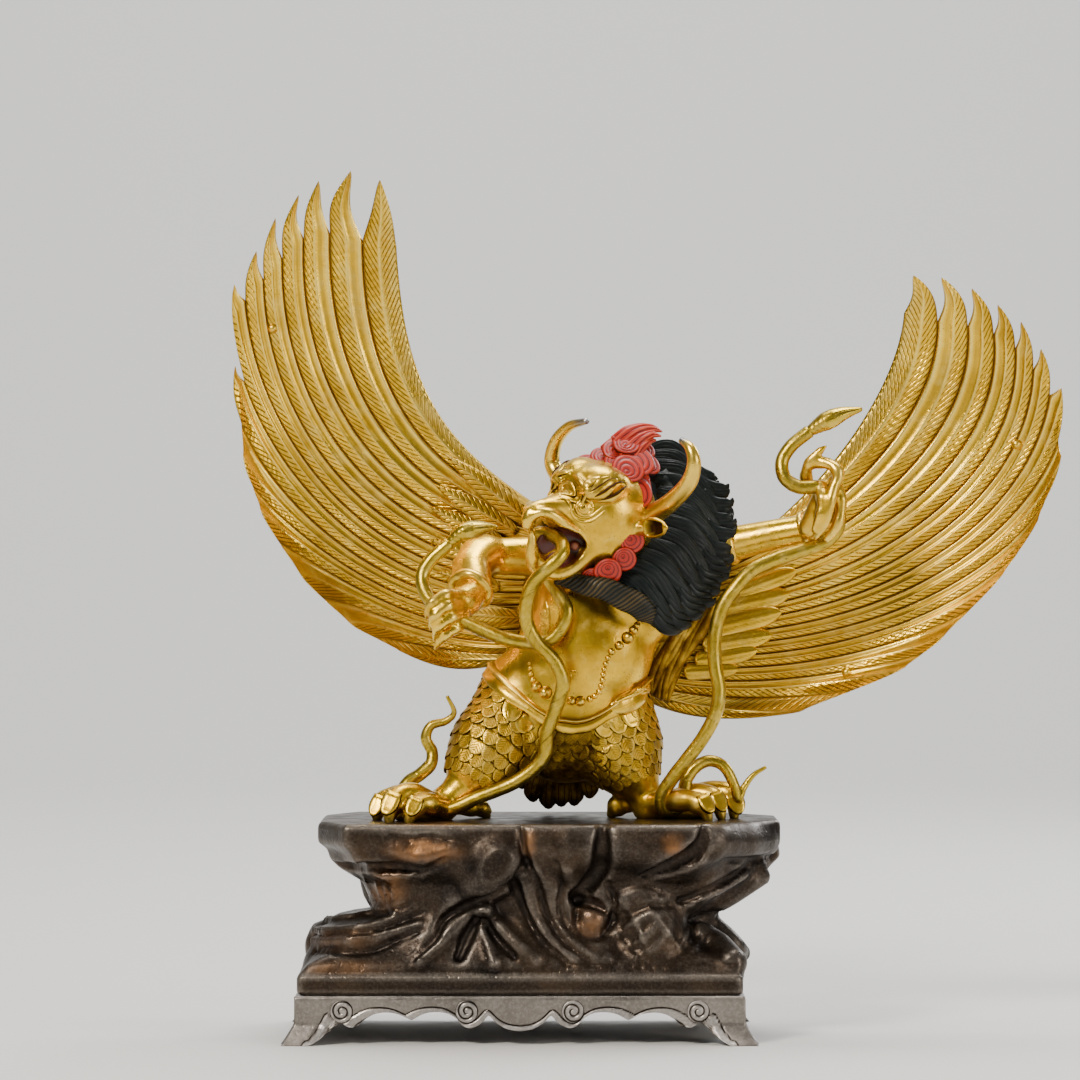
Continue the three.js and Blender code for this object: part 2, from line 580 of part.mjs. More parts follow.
const paint = {
  standBronze: { color: 0x5c554a, roughness: 0.45, metalness: 0.85 },
  darkBronze: { color: 0x2a221c, roughness: 0.5, metalness: 0.7 },
  bodyGold: { color: 0xc9942b, roughness: 0.32, metalness: 1 },
  wingGold: { color: 0xcf9a33, roughness: 0.36, metalness: 1 },
  snakeGold: { color: 0x9a7d2c, roughness: 0.4, metalness: 1 },
};

const subparts = [
  ["footed_stand", makeStand(), paint.standBronze],
  ["rock_plinth", makeRock(), paint.darkBronze],
  ["garuda_figure", placed(makeFigure(cutters)), paint.bodyGold],
  ["left_wing", placed(makeWing(wings.left, 0)), paint.wingGold],
  ["right_wing", placed(makeWing(wings.right, 0)), paint.wingGold],
  ["left_snake", placed(makeSnake(snakes.left, 0)), paint.snakeGold],
  ["right_snake", placed(makeSnake(snakes.right, 0)), paint.snakeGold],
];

const part = new THREE.Group();
part.name = "garuda_figure_on_stand";
const bounds = new THREE.Box3();
subparts.forEach(([name, solid, look]) => {
  const mesh = new THREE.Mesh(toGeometry(solid), new THREE.MeshStandardMaterial(look));
  mesh.name = name;
  mesh.geometry.computeBoundingBox();
  bounds.union(mesh.geometry.boundingBox);
  part.add(mesh);
});
const middle = bounds.getCenter(new THREE.Vector3());
part.children.forEach((mesh) => mesh.geometry.translate(-middle.x, -middle.y, 0));

export default part;
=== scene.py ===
import math
import bpy
import numpy as np
import openvdb
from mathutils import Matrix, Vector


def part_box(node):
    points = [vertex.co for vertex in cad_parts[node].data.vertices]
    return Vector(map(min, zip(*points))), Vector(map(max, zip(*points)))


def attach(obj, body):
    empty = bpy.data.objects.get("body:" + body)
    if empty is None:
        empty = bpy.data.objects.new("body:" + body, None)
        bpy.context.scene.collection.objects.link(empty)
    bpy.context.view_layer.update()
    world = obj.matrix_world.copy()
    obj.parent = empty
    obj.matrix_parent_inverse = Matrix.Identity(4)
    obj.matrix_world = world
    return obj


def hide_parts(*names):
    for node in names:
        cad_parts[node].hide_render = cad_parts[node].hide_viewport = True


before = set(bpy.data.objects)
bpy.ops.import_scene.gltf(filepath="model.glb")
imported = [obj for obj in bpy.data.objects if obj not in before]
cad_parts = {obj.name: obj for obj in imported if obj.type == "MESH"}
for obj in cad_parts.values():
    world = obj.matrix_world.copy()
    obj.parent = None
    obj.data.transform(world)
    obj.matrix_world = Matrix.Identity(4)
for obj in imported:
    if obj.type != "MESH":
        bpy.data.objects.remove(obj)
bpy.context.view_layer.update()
print("frame loaded")

# Points are in millimetres from the middle of the slab's top: x right, y back, z up.
standLow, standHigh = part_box("footed_stand")
slabTop = 0.1115
slabMiddle = np.array([(standLow.x + standHigh.x) / 2, (standLow.y + standHigh.y) / 2, slabTop])

shot = {"distance": 2600.0, "aside": 10.2, "height": 144.5, "focal": 5000.0, "picture": 1080.0, "sensor": 36}


def toScene(points):
    return np.asarray(points, float) / 1000 + slabMiddle


def addObject(name, data):
    thing = bpy.data.objects.new(name, data)
    bpy.context.collection.objects.link(thing)
    return thing


def makeCamera():
    data = bpy.data.cameras.new("camera")
    data.sensor_width = shot["sensor"]
    data.lens = shot["sensor"] * shot["focal"] / shot["picture"]
    data.clip_end = 100
    camera = addObject("camera", data)
    camera.location = toScene([shot["aside"], -shot["distance"], shot["height"]])
    camera.rotation_euler = (math.pi / 2, 0, 0)
    bpy.context.scene.camera = camera


backdrop = {"front": -6.0, "back": 2.6, "round": 2.4, "top": 7.0, "wide": 14.0, "steps": 24,
            "color": (0.66, 0.65, 0.63, 1), "roughness": 0.7}


def makeFloor():
    # A pale sheet that lies on the ground and curves up far behind the part.
    turns = np.linspace(0, math.pi / 2, backdrop["steps"] + 1)
    bend = [(backdrop["back"] + backdrop["round"] * math.sin(t), backdrop["round"] * (1 - math.cos(t))) for t in turns]
    line = [(backdrop["front"], 0.0)] + bend + [(backdrop["back"] + backdrop["round"], backdrop["top"])]
    points = [(x, y, z) for y, z in line for x in (-backdrop["wide"], backdrop["wide"])]
    faces = [(2 * k, 2 * k + 1, 2 * k + 3, 2 * k + 2) for k in range(len(line) - 1)]
    mesh = bpy.data.meshes.new("floor")
    mesh.from_pydata(points, [], faces)
    mesh.shade_smooth()
    material = bpy.data.materials.new("pale floor")
    material.use_nodes = True
    shader = material.node_tree.nodes["Principled BSDF"]
    shader.inputs["Base Color"].default_value = backdrop["color"]
    shader.inputs["Roughness"].default_value = backdrop["roughness"]
    mesh.materials.append(material)
    addObject("floor", mesh)


lamps = {
    "key": {"at": (-1.1, -1.5, 1.5), "size": 0.5, "watts": 52, "tint": (1.0, 0.94, 0.84)},
    "fill": {"at": (1.6, -1.2, 0.6), "size": 0.8, "watts": 14, "tint": (1.0, 0.95, 0.88)},
    "top": {"at": (0.3, 0.1, 1.9), "size": 0.7, "watts": 22, "tint": (1.0, 0.97, 0.93)},
    "rim": {"at": (1.2, 1.3, 1.1), "size": 0.6, "watts": 16, "tint": (0.93, 0.96, 1.0)},
    "wall": {"at": (0.0, 1.6, 4.2), "size": 3.0, "watts": 260, "tint": (0.98, 0.99, 1.0), "target": (0.0, 4.6, 1.2)},
}
sky = {"color": (0.78, 0.79, 0.8, 1), "strength": 0.26, "target": (10, 0, 90)}


def makeLamps():
    for name, lamp in lamps.items():
        data = bpy.data.lights.new(name, "AREA")
        data.size, data.energy, data.color = lamp["size"], lamp["watts"], lamp["tint"]
        light = addObject(name, data)
        light.location = lamp["at"]
        away = np.array(lamp["at"]) - lamp.get("target", toScene(sky["target"]))
        away /= np.linalg.norm(away)
        light.rotation_euler = (math.acos(away[2]), 0, math.atan2(away[1], away[0]) + math.pi / 2)
    world = bpy.data.worlds.new("studio")
    bpy.context.scene.world = world
    world.use_nodes = True
    glow = world.node_tree.nodes["Background"]
    glow.inputs["Color"].default_value = sky["color"]
    glow.inputs["Strength"].default_value = sky["strength"]


makeCamera()
makeFloor()
makeLamps()
print("camera, floor and lamps stand")


# Curves and lofts

def mix(a, b, s):
    return a + (b - a) * s


def step(low, high, value):
    s = np.clip((value - low) / (high - low), 0, 1)
    return s * s * (3 - 2 * s)


def bump(value, middle, width):
    return np.exp(-((value - middle) / width)**2)


def turnsOf(count):
    return np.arange(count) / count * 2 * math.pi


def unit(v):
    return v / np.linalg.norm(v)


def unitRows(v):
    return v / np.maximum(np.linalg.norm(v, axis=1), 1e-9)[:, None]


def runOf(points):
    # Distance along a line of points.
    return np.concatenate([[0], np.cumsum(np.linalg.norm(np.diff(points, axis=0), axis=1))])


def onCurve(points, u):
    # Centripetal curve through the points, evaluated at shares u of its points.
    p = np.asarray(points, float)
    p = np.vstack([2 * p[0] - p[1], p, 2 * p[-1] - p[-2]])
    place = np.clip(np.asarray(u, float), 0, 1) * (len(points) - 1)
    low = np.minimum(place.astype(int), len(points) - 2)
    s = (place - low)[:, None]
    a, b, c, d = p[low], p[low + 1], p[low + 2], p[low + 3]
    gap = [np.sqrt(np.maximum(np.linalg.norm(y - x, axis=1), 1e-6))[:, None] for x, y in ((a, b), (b, c), (c, d))]
    start = ((b - a) / gap[0] - (c - a) / (gap[0] + gap[1]) + (c - b) / gap[1]) * gap[1]
    end = ((c - b) / gap[1] - (d - b) / (gap[1] + gap[2]) + (d - c) / gap[2]) * gap[1]
    return ((2 * s**3 - 3 * s**2 + 1) * b + (s**3 - 2 * s**2 + s) * start
            + (3 * s**2 - 2 * s**3) * c + (s**3 - s**2) * end)


def alongCurve(points, count):
    return onCurve(points, np.linspace(0, 1, count))


def onList(values, u):
    return np.interp(np.asarray(u) * (len(values) - 1), np.arange(len(values)), values)


def evenShares(points, count):
    # Shares u that lie at even distances along the curve.
    fine = np.linspace(0, 1, 60 * len(points))
    run = runOf(onCurve(points, fine))
    return np.interp(np.linspace(0, run[-1], count), run, fine)


def curveFrames(points, shares, across):
    centre = onCurve(points, shares)
    along = unitRows(onCurve(points, np.clip(shares + 1e-3, 0, 1)) - onCurve(points, np.clip(shares - 1e-3, 0, 1)))
    side = np.zeros_like(along)
    last = np.array(across, float)
    for i, t in enumerate(along):
        last = unit(last - t * last.dot(t))
        side[i] = last
    return centre, along, side, np.cross(along, side)


def sheetFaces(rows, columns, closed=False):
    i, j = np.meshgrid(np.arange(rows - 1), np.arange(columns if closed else columns - 1), indexing="ij")
    a = (i * columns + j).ravel()
    b = (i * columns + (j + 1) % columns).ravel()
    return np.stack([a, b, b + columns, a + columns], 1)


def makePart(verts, quads, tris=np.zeros((0, 3), int), **marks):
    return {"verts": verts, "quads": quads, "tris": tris, "marks": marks}


def tubePart(rings, first, last, **marks):
    # A closed skin over rows of rings, with a point in each end; each mark comes with its two end values.
    rows, sides = rings.shape[:2]
    count = rows * sides
    k = np.arange(sides)
    after = (k + 1) % sides
    fans = [np.stack([after, k, np.full(sides, count)], 1),
            np.stack([count - sides + k, count - sides + after, np.full(sides, count + 1)], 1)]
    marks = {key: np.concatenate([np.broadcast_to(values, (rows, sides)).ravel(), ends])
             for key, (values, ends) in marks.items()}
    verts = np.vstack([rings.reshape(-1, 3), first, last])
    return makePart(verts, sheetFaces(rows, sides, True), np.vstack(fans), **marks)


def wheelPart(rings, relief):
    # A closed skin over rings that come back to the first one.
    rows, sides = rings.shape[:2]
    return makePart(rings.reshape(-1, 3), sheetFaces(rows + 1, sides, True) % (rows * sides), relief=relief)


def loft(points, radii, sides, rows, across=(0.31, 0.83, 0.46), wide=1.0, deep=1.0, shape=None):
    # A closed limb; shape(u, turn) gives the section's own reach and its relief.
    shares = evenShares(points, rows)
    centre, along, side, up = curveFrames(points, shares, across)
    radius = onList(radii, shares)[:, None]
    u, turn = np.meshgrid(shares, turnsOf(sides), indexing="ij")
    reach, relief = shape(u, turn) if shape else (1.0, 0 * u)
    rings = (centre[:, None, :] + side[:, None, :] * (np.cos(turn) * radius * wide * reach)[..., None]
             + up[:, None, :] * (np.sin(turn) * radius * deep * reach)[..., None])
    return tubePart(rings, centre[0] - along[0] * radius[0] * 0.4, centre[-1] + along[-1] * radius[-1] * 0.4,
                    relief=(relief, [0, 0]), along=(u, [0, 1]))


# The grime mark darkens a part: dirt in some places, painted shade in others.
def setGrimeAndShade(part, amount):
    part["marks"]["grime"] = np.full(len(part["verts"]), amount)
    return part


def faceLists(part):
    return [faces for faces in (part["quads"], part["tris"]) if len(faces)]


def outward(part):
    # Turns the faces round where the closed part's volume comes out negative.
    volume = 0.0
    for faces in faceLists(part):
        corners = [part["verts"][column] for column in faces.T]
        for b, c in zip(corners[1:], corners[2:]):
            volume += np.einsum("ij,ij->", corners[0], np.cross(b, c))
    if volume < 0:
        part["quads"] = part["quads"][:, ::-1]
        part["tris"] = part["tris"][:, ::-1]
    return part


def makePiece(name, node, parts, slots):
    # One mesh of many closed parts, in scene metres, with their marks as attributes.
    names = sorted({key for part in parts for key in part["marks"]})
    corners, sizes, places = [], [], []
    marks = {key: [] for key in names}
    count = 0
    for part in parts:
        outward(part)
        for key in names:
            marks[key].append(part["marks"].get(key, np.zeros(len(part["verts"]))))
        for faces in faceLists(part):
            corners.append((faces + count).ravel())
            sizes.append(np.full(len(faces), faces.shape[1]))
        places.append(np.broadcast_to(part.get("slot", 0), (len(part["quads"]) + len(part["tris"]),)))
        count += len(part["verts"])
    verts, corners, sizes = np.vstack([part["verts"] for part in parts]), np.concatenate(corners), np.concatenate(sizes)
    mesh = bpy.data.meshes.new(name)
    mesh.vertices.add(len(verts))
    mesh.vertices.foreach_set("co", toScene(verts).astype(np.float32).ravel())
    mesh.loops.add(len(corners))
    mesh.loops.foreach_set("vertex_index", corners.astype(np.int32))
    mesh.polygons.add(len(sizes))
    mesh.polygons.foreach_set("loop_start", (np.cumsum(sizes) - sizes).astype(np.int32))
    mesh.polygons.foreach_set("material_index", np.concatenate(places).astype(np.int32))
    for key in names:
        layer = mesh.attributes.new(key, "FLOAT", "POINT")
        layer.data.foreach_set("value", np.concatenate(marks[key]).astype(np.float32))
    for slot in slots:
        mesh.materials.append(materials[slot])
    mesh.update(calc_edges=True)
    mesh.validate()
    mesh.shade_smooth()
    thing = addObject(name, mesh)
    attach(thing, "root")
    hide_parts(node)
    print(f"{name}: {(sizes - 2).sum()} triangles")


def averaging(part):
    # A function that averages values over each point's neighbours.
    pairs = [np.stack([faces, np.roll(faces, -1, axis=1)], 2).reshape(-1, 2) for faces in faceLists(part)]
    a, b = np.vstack(pairs).T
    size = len(part["verts"])
    count = np.maximum(np.bincount(a, minlength=size) + np.bincount(b, minlength=size), 1)

    def spread(values):
        if values.ndim > 1:
            return np.stack([spread(column) for column in values.T], 1)
        return (np.bincount(a, values[b], size) + np.bincount(b, values[a], size)) / count

    return spread


def addCurvature(part, gain):
    # Marks ridges above zero and grooves below, from how far each point stands out of its neighbours.
    verts = part["verts"]
    spread = averaging(part)
    soft = spread(spread(spread(verts)))
    normal = np.zeros_like(verts)
    for faces in faceLists(part):
        flat = np.cross(verts[faces[:, 2]] - verts[faces[:, 0]], verts[faces[:, -1]] - verts[faces[:, 1]])
        for column in faces.T:
            for axis in range(3):
                normal[:, axis] += np.bincount(column, flat[:, axis], len(verts))
    stand = np.einsum("ij,ij->i", verts - soft, unitRows(normal))
    part["marks"]["relief"] = np.clip(spread(stand) * gain, -1, 1)
    return part


# Clay: a block of distances that limbs are added to and carved from, then turned into a skin.

farAway = 6.0


def newClay(low, high, pitch, matrix=np.eye(3, 4)):
    low, high = np.array(low, float), np.array(high, float)
    count = np.ceil((high - low) / pitch).astype(int) + 1
    return {"low": low, "pitch": pitch, "field": np.full(count, farAway, np.float32), "matrix": matrix}


def limbField(clay, points, radii, squash, reach=5.0):
    # Distance to a chain of balls along a curve, on the part of the block that it can touch.
    pitch, low = clay["pitch"], clay["low"]
    squash = np.array(squash, float)
    points = np.asarray(points, float)
    if len(points) == 1:
        centres, sizes = points, np.array([radii[0]], float)
    else:
        length = np.linalg.norm(np.diff(points, axis=0), axis=1).sum()
        count = int(max(8, length / max(min(radii) * 0.3, pitch * 1.1), length / 2.5))
        shares = np.linspace(0, 1, min(count, 160))
        centres, sizes = onCurve(points, shares), onList(radii, shares)
    span = (sizes[:, None] + reach) * np.maximum(squash, 1)
    start = np.clip(np.floor(((centres - span).min(0) - low) / pitch).astype(int), 0, np.array(clay["field"].shape) - 1)
    end = np.clip(np.ceil(((centres + span).max(0) - low) / pitch).astype(int) + 1, 1, clay["field"].shape)
    local = np.full(end - start, farAway, np.float32)
    for centre, size in zip(centres, sizes):
        span = (size + reach) * squash
        a = np.clip(np.floor((centre - span - low) / pitch).astype(int) - start, 0, end - start)
        b = np.clip(np.ceil((centre + span - low) / pitch).astype(int) + 1 - start, 0, end - start)
        if np.any(b <= a):
            continue
        x, y, z = [((np.arange(a[k], b[k]) + start[k]) * pitch + low[k] - centre[k]) / squash[k] for k in range(3)]
        far = np.sqrt(x[:, None, None]**2 + y[None, :, None]**2 + z[None, None, :]**2)
        block = local[a[0]:b[0], a[1]:b[1], a[2]:b[2]]
        np.minimum(block, ((far - size) * squash.min()).astype(np.float32), out=block)
    return tuple(slice(p, q) for p, q in zip(start, end)), local


def addLimb(clay, points, radii, blend=2.0, squash=(1, 1, 1), sign=1):
    where, local = limbField(clay, points, radii, squash)
    field = clay["field"][where] * sign
    h = np.clip(0.5 + 0.5 * (field - local) / blend, 0, 1)
    clay["field"][where] = (field + (local - field) * h - blend * h * (1 - h)) * sign


def carveLimb(clay, points, radii, blend=0.8, squash=(1, 1, 1)):
    addLimb(clay, points, radii, blend, squash, -1)


def sampleClay(clay, points):
    place = (np.asarray(points) - clay["low"]) / clay["pitch"]
    shape = np.array(clay["field"].shape)
    inside = np.all((place >= 0) & (place < shape - 1), axis=-1)
    place = np.clip(place, 0, shape - 1.001)
    cell = place.astype(int)
    s = place - cell
    total = np.zeros(place.shape[:-1])
    for corner in np.ndindex(2, 2, 2):
        weight = np.abs(1 - np.array(corner) - s).prod(-1)
        total += weight * clay["field"][tuple(np.moveaxis(cell + corner, -1, 0))]
    return np.where(inside, total, farAway)


def toLocal(clay, points):
    return (np.asarray(points, float) - clay["matrix"][:, 3]) @ clay["matrix"][:, :3]


def toFigure(clay, points):
    return np.asarray(points, float) @ clay["matrix"][:, :3].T + clay["matrix"][:, 3]


# The eye of the picture, and the lines of sight through picture points.
eye = np.array([shot["aside"], -shot["distance"], shot["height"]])


def pictureRay(pixels):
    flat = (np.asarray(pixels, float)[:, :2] - shot["picture"] / 2) / shot["focal"]
    return np.stack([flat[:, 0], np.ones(len(flat)), -flat[:, 1]], 1)


def picturePlace(verts):
    span = (verts[:, 1] - eye[1]) / shot["focal"]
    half = shot["picture"] / 2
    return half + (verts[:, 0] - eye[0]) / span, half - (verts[:, 2] - eye[2]) / span


def pictureDepth(pixels):
    # Points of the figure that lie at a given depth behind picture points.
    pixels = np.asarray(pixels, float)
    return eye + pictureRay(pixels) * (pixels[:, 2:3] + shot["distance"])


def seatPixels(clay, pixels, near=-80, far=50):
    # Where the lines of sight through picture points meet the clay, in the clay's own frame.
    depth = np.arange(near, far, 0.25) + shot["distance"]
    points = toLocal(clay, eye + pictureRay(pixels)[:, None, :] * depth[None, :, None])
    hit = sampleClay(clay, points) < 0
    return points[np.arange(len(pixels)), hit.argmax(1)][hit.any(1)]


def clayNormals(clay, points):
    steps = np.eye(3) * clay["pitch"]
    slope = np.stack([sampleClay(clay, points + way) - sampleClay(clay, points - way) for way in steps], 1)
    return unitRows(slope)


def seatLine(clay, pixels, sink=0.0):
    # Seats along a line drawn in the picture, moved into the clay, and the clay's normals there.
    seats = seatPixels(clay, alongCurve(pixels, max(8, 2 * len(pixels))))
    normals = clayNormals(clay, seats)
    return seats - normals * sink, normals


def claySkin(clay):
    grid = openvdb.FloatGrid(farAway)
    grid.copyFromArray(clay["field"])
    points, quads = grid.convertToQuads(0.0)
    part = makePart(points.astype(float) * clay["pitch"] + clay["low"], quads.astype(np.int64))
    spread = averaging(part)
    # Each pair of passes smooths the steps of the block without shrinking the form.
    for weight in (0.5, -0.52, 0.5, -0.52):
        part["verts"] = part["verts"] + (spread(part["verts"]) - part["verts"]) * weight
    return outward(part)


# Materials: the shared effects are groups, the shaders stay in the materials.

def wire(tree, node, inputs):
    for key, value in inputs.items():
        if isinstance(value, bpy.types.NodeSocket):
            tree.links.new(value, node.inputs[key])
        else:
            node.inputs[key].default_value = value


def addNode(tree, kind, inputs={}, **settings):
    node = tree.nodes.new(kind)
    for key, value in settings.items():
        setattr(node, key, value)
    wire(tree, node, inputs)
    return node


def newGroup(name, inputs, outputs):
    # Inputs without a value are places, those with three numbers are colours.
    tree = bpy.data.node_groups.new(name, "ShaderNodeTree")
    for label, value in inputs.items():
        kind = "Vector" if value is None else "Float" if isinstance(value, float) else "Color"
        socket = tree.interface.new_socket(label, in_out="INPUT", socket_type="NodeSocket" + kind)
        if value is not None:
            socket.default_value = value if kind == "Float" else (*value, 1)
    for label in outputs:
        kind = "Color" if label == "Color" else "Float"
        tree.interface.new_socket(label, in_out="OUTPUT", socket_type="NodeSocket" + kind)
    return tree, addNode(tree, "NodeGroupInput").outputs


def endGroup(tree, **values):
    addNode(tree, "NodeGroupOutput", values)
    return tree


def blendColors(tree, share, a, b):
    return addNode(tree, "ShaderNodeMix", {0: share, 6: a, 7: b}, data_type="RGBA").outputs[2]


def calc(tree, way, a, b=0.0, c=0.0, clamp=False):
    return addNode(tree, "ShaderNodeMath", {0: a, 1: b, 2: c}, operation=way, use_clamp=clamp).outputs[0]


def times(tree, a, b, clamp=False):
    return calc(tree, "MULTIPLY", a, b, clamp=clamp)


def ramp(tree, value, low, high, toLow=0.0, toHigh=1.0):
    return addNode(tree, "ShaderNodeMapRange", {0: value, 1: low, 2: high, 3: toLow, 4: toHigh}).outputs[0]


def noiseOf(tree, place, scale, detail=3.0, rough=0.55):
    inputs = {"Vector": place, "Scale": scale, "Detail": detail, "Roughness": rough}
    return addNode(tree, "ShaderNodeTexNoise", inputs).outputs["Fac"]


def markOf(tree, name):
    return addNode(tree, "ShaderNodeAttribute", attribute_name=name).outputs["Fac"]


def buildGrainGroup():
    tree, given = newGroup("castGrain", {"Place": None, "Grain Scale": 900.0, "Pits": 0.3}, ["Height"])
    place, scale = given["Place"], given["Grain Scale"]
    fine = noiseOf(tree, place, scale, 4.0, 0.65)
    broad = noiseOf(tree, place, times(tree, scale, 0.13))
    pit = ramp(tree, noiseOf(tree, place, times(tree, scale, 0.45), 1.0), 0.28, 0.4, -1.0, 0.0)
    height = calc(tree, "MULTIPLY_ADD", broad, 1.2, times(tree, fine, 0.45))
    return endGroup(tree, Height=calc(tree, "MULTIPLY_ADD", pit, given["Pits"], height))


def buildGildingGroup():
    tree, given = newGroup("oldGilding", {
        "Place": None, "Relief": 0.0, "Grime": 0.0, "Bare": 0.0, "Gold": (1, 0.7, 0.2), "Deep Gold": (0.7, 0.4, 0.08),
        "Pale Gold": (1, 0.85, 0.5), "Dirt": (0.06, 0.03, 0.015), "Patch Scale": 45.0, "Dirt Reach": 1.0},
        ["Color", "Roughness"])
    place, relief, scale, pale = given["Place"], given["Relief"], given["Patch Scale"], given["Pale Gold"]
    patch = ramp(tree, noiseOf(tree, place, scale, 4.0, 0.6), 0.35, 0.68)
    color = blendColors(tree, patch, given["Gold"], given["Deep Gold"])
    cloud = ramp(tree, noiseOf(tree, place, times(tree, scale, 3.1), 5.0, 0.6), 0.5, 0.75)
    color = blendColors(tree, times(tree, cloud, 0.4), color, pale)
    # Raised relief turns pale gold: a painted highlight on ridges.
    color = blendColors(tree, times(tree, ramp(tree, relief, 0.12, 0.8), 0.55), color, pale)
    speck = ramp(tree, noiseOf(tree, place, 700.0, 2.0, 0.7), 0.27, 0.36, 0.55, 0.0)
    # Grooves darken toward the dirt colour as painted shade; the grime mark adds dirt and painted shade, and the specks
    # are dirt.
    grooveShade = times(tree, ramp(tree, relief, -0.1, -0.7), given["Dirt Reach"])
    soilAndShade = times(tree, given["Grime"], ramp(tree, noiseOf(tree, place, 120.0, 5.0, 0.65), 0.25, 0.6, 0.45))
    dirtAndShade = calc(tree, "MAXIMUM", calc(tree, "MAXIMUM", grooveShade, soilAndShade), speck, clamp=True)
    color = blendColors(tree, dirtAndShade, color, given["Dirt"])
    rough = calc(tree, "MULTIPLY_ADD", cloud, 0.1, calc(tree, "MULTIPLY_ADD", patch, 0.12, 0.24))
    return endGroup(tree, Color=blendColors(tree, given["Bare"], color, (0.33, 0.32, 0.31, 1)),
                    Roughness=calc(tree, "MULTIPLY_ADD", dirtAndShade, 0.32, rough, clamp=True))


def buildPaintGroup():
    tree, given = newGroup("oldPaint", {
        "Place": None, "Relief": 0.0, "Paint": (0.6, 0.05, 0.03), "Edge": (0.9, 0.5, 0.45), "Hollow": (0.2, 0.0, 0.0),
        "Edge Start": 0.1, "Edge End": 0.8}, ["Color", "Roughness"])
    cloud = noiseOf(tree, given["Place"], 160.0, 4.0, 0.6)
    # Ridges take the edge colour as a painted highlight, and hollows the hollow colour as painted shade.
    edge = ramp(tree, given["Relief"], given["Edge Start"], given["Edge End"])
    color = blendColors(tree, times(tree, edge, ramp(tree, cloud, 0.3, 0.6, 0.35)), given["Paint"], given["Edge"])
    color = blendColors(tree, ramp(tree, given["Relief"], -0.08, -0.6), color, given["Hollow"])
    return endGroup(tree, Color=color, Roughness=ramp(tree, cloud, 0.3, 0.75, 0.3, 0.55))


def buildPatinaGroup():
    tree, given = newGroup("darkPatina", {
        "Place": None, "Relief": 0.0, "Rub": 0.0, "Dark": (0.03, 0.02, 0.015), "Brown": (0.12, 0.08, 0.05),
        "Sheen": (0.3, 0.29, 0.28), "Warm": (0.5, 0.25, 0.08), "Patch Scale": 30.0, "Grit": 0.35},
        ["Color", "Roughness"])
    place, relief, sheen = given["Place"], given["Relief"], given["Sheen"]
    patch = ramp(tree, noiseOf(tree, place, given["Patch Scale"], 5.0, 0.62), 0.33, 0.66)
    color = blendColors(tree, patch, given["Dark"], given["Brown"])
    grit = ramp(tree, noiseOf(tree, place, 600.0, 4.0, 0.7), 0.45, 0.75)
    color = blendColors(tree, times(tree, grit, given["Grit"]), color, sheen)
    # Ridges take the sheen colour as a painted highlight.
    ridge = times(tree, ramp(tree, relief, 0.1, 0.75), ramp(tree, grit, 0.0, 1.0, 0.5))
    color = blendColors(tree, times(tree, ridge, 0.75), color, sheen)
    cloud = ramp(tree, noiseOf(tree, place, 140.0, 4.0), 0.35, 0.6, 0.4)
    color = blendColors(tree, times(tree, given["Rub"], cloud, True), color, given["Warm"])
    # Grooves darken to near black as painted shade.
    color = blendColors(tree, ramp(tree, relief, -0.12, -0.7), color, (0.012, 0.008, 0.006, 1))
    return endGroup(tree, Color=color, Roughness=ramp(tree, noiseOf(tree, place, 90.0, 5.0, 0.6), 0.3, 0.7, 0.27, 0.52))


groups = {"grain": buildGrainGroup(), "gilding": buildGildingGroup(), "paint": buildPaintGroup(),
          "patina": buildPatinaGroup()}
markNames = {"gilding": ("Relief", "Grime", "Bare"), "paint": ("Relief",), "patina": ("Relief", "Rub")}


def newMaterial(name, group, values, metal=1.0, grain=900.0, pits=0.3, bump=0.35, depth=0.0004, shine=0.5):
    material = bpy.data.materials.new(name)
    material.use_nodes = True
    tree = material.node_tree
    shader = tree.nodes["Principled BSDF"]
    shader.inputs["Metallic"].default_value = metal
    shader.inputs["Specular IOR Level"].default_value = shine
    place = addNode(tree, "ShaderNodeTexCoord").outputs["Object"]
    inputs = {mark: markOf(tree, mark.lower()) for mark in markNames[group]}
    inputs.update({key: value if isinstance(value, float) else (*value, 1) for key, value in values.items()})
    effect = addNode(tree, "ShaderNodeGroup", node_tree=groups[group])
    cast = addNode(tree, "ShaderNodeGroup", node_tree=groups["grain"])
    wire(tree, effect, {"Place": place, **inputs})
    wire(tree, cast, {"Place": place, "Grain Scale": grain, "Pits": pits})
    lift = addNode(tree, "ShaderNodeBump", {"Strength": bump, "Distance": depth, "Height": cast.outputs["Height"]})
    wire(tree, shader, {"Base Color": effect.outputs["Color"], "Roughness": effect.outputs["Roughness"],
                        "Normal": lift.outputs["Normal"]})
    return material


def paintOver(tree, share, color):
    base = tree.nodes["Principled BSDF"].inputs["Base Color"]
    tree.links.new(blendColors(tree, share, base.links[0].from_socket, color), base)


def addBarbs(material, strength):
    # Fine cuts that follow each feather's vane, darkened with painted shade.
    tree = material.node_tree
    saw = calc(tree, "ABSOLUTE", calc(tree, "SUBTRACT", calc(tree, "FRACT", markOf(tree, "phase")), 0.5))
    cut = times(tree, ramp(tree, saw, 0.3, 0.47), ramp(tree, markOf(tree, "vane"), 0.25, 0.8), True)
    paintOver(tree, times(tree, cut, strength), (0.11, 0.045, 0.009, 1))
    height = tree.nodes["Bump"].inputs["Height"]
    tree.links.new(calc(tree, "MULTIPLY_ADD", cut, -2.2, height.links[0].from_socket), height)


def addGoldRubs(material):
    # Strands where the paint has rubbed through to the gilding.
    tree = material.node_tree
    rub = markOf(tree, "gold")
    paintOver(tree, times(tree, rub, 0.8), (0.34, 0.2, 0.045, 1))
    tree.links.new(times(tree, rub, 0.7), tree.nodes["Principled BSDF"].inputs["Metallic"])


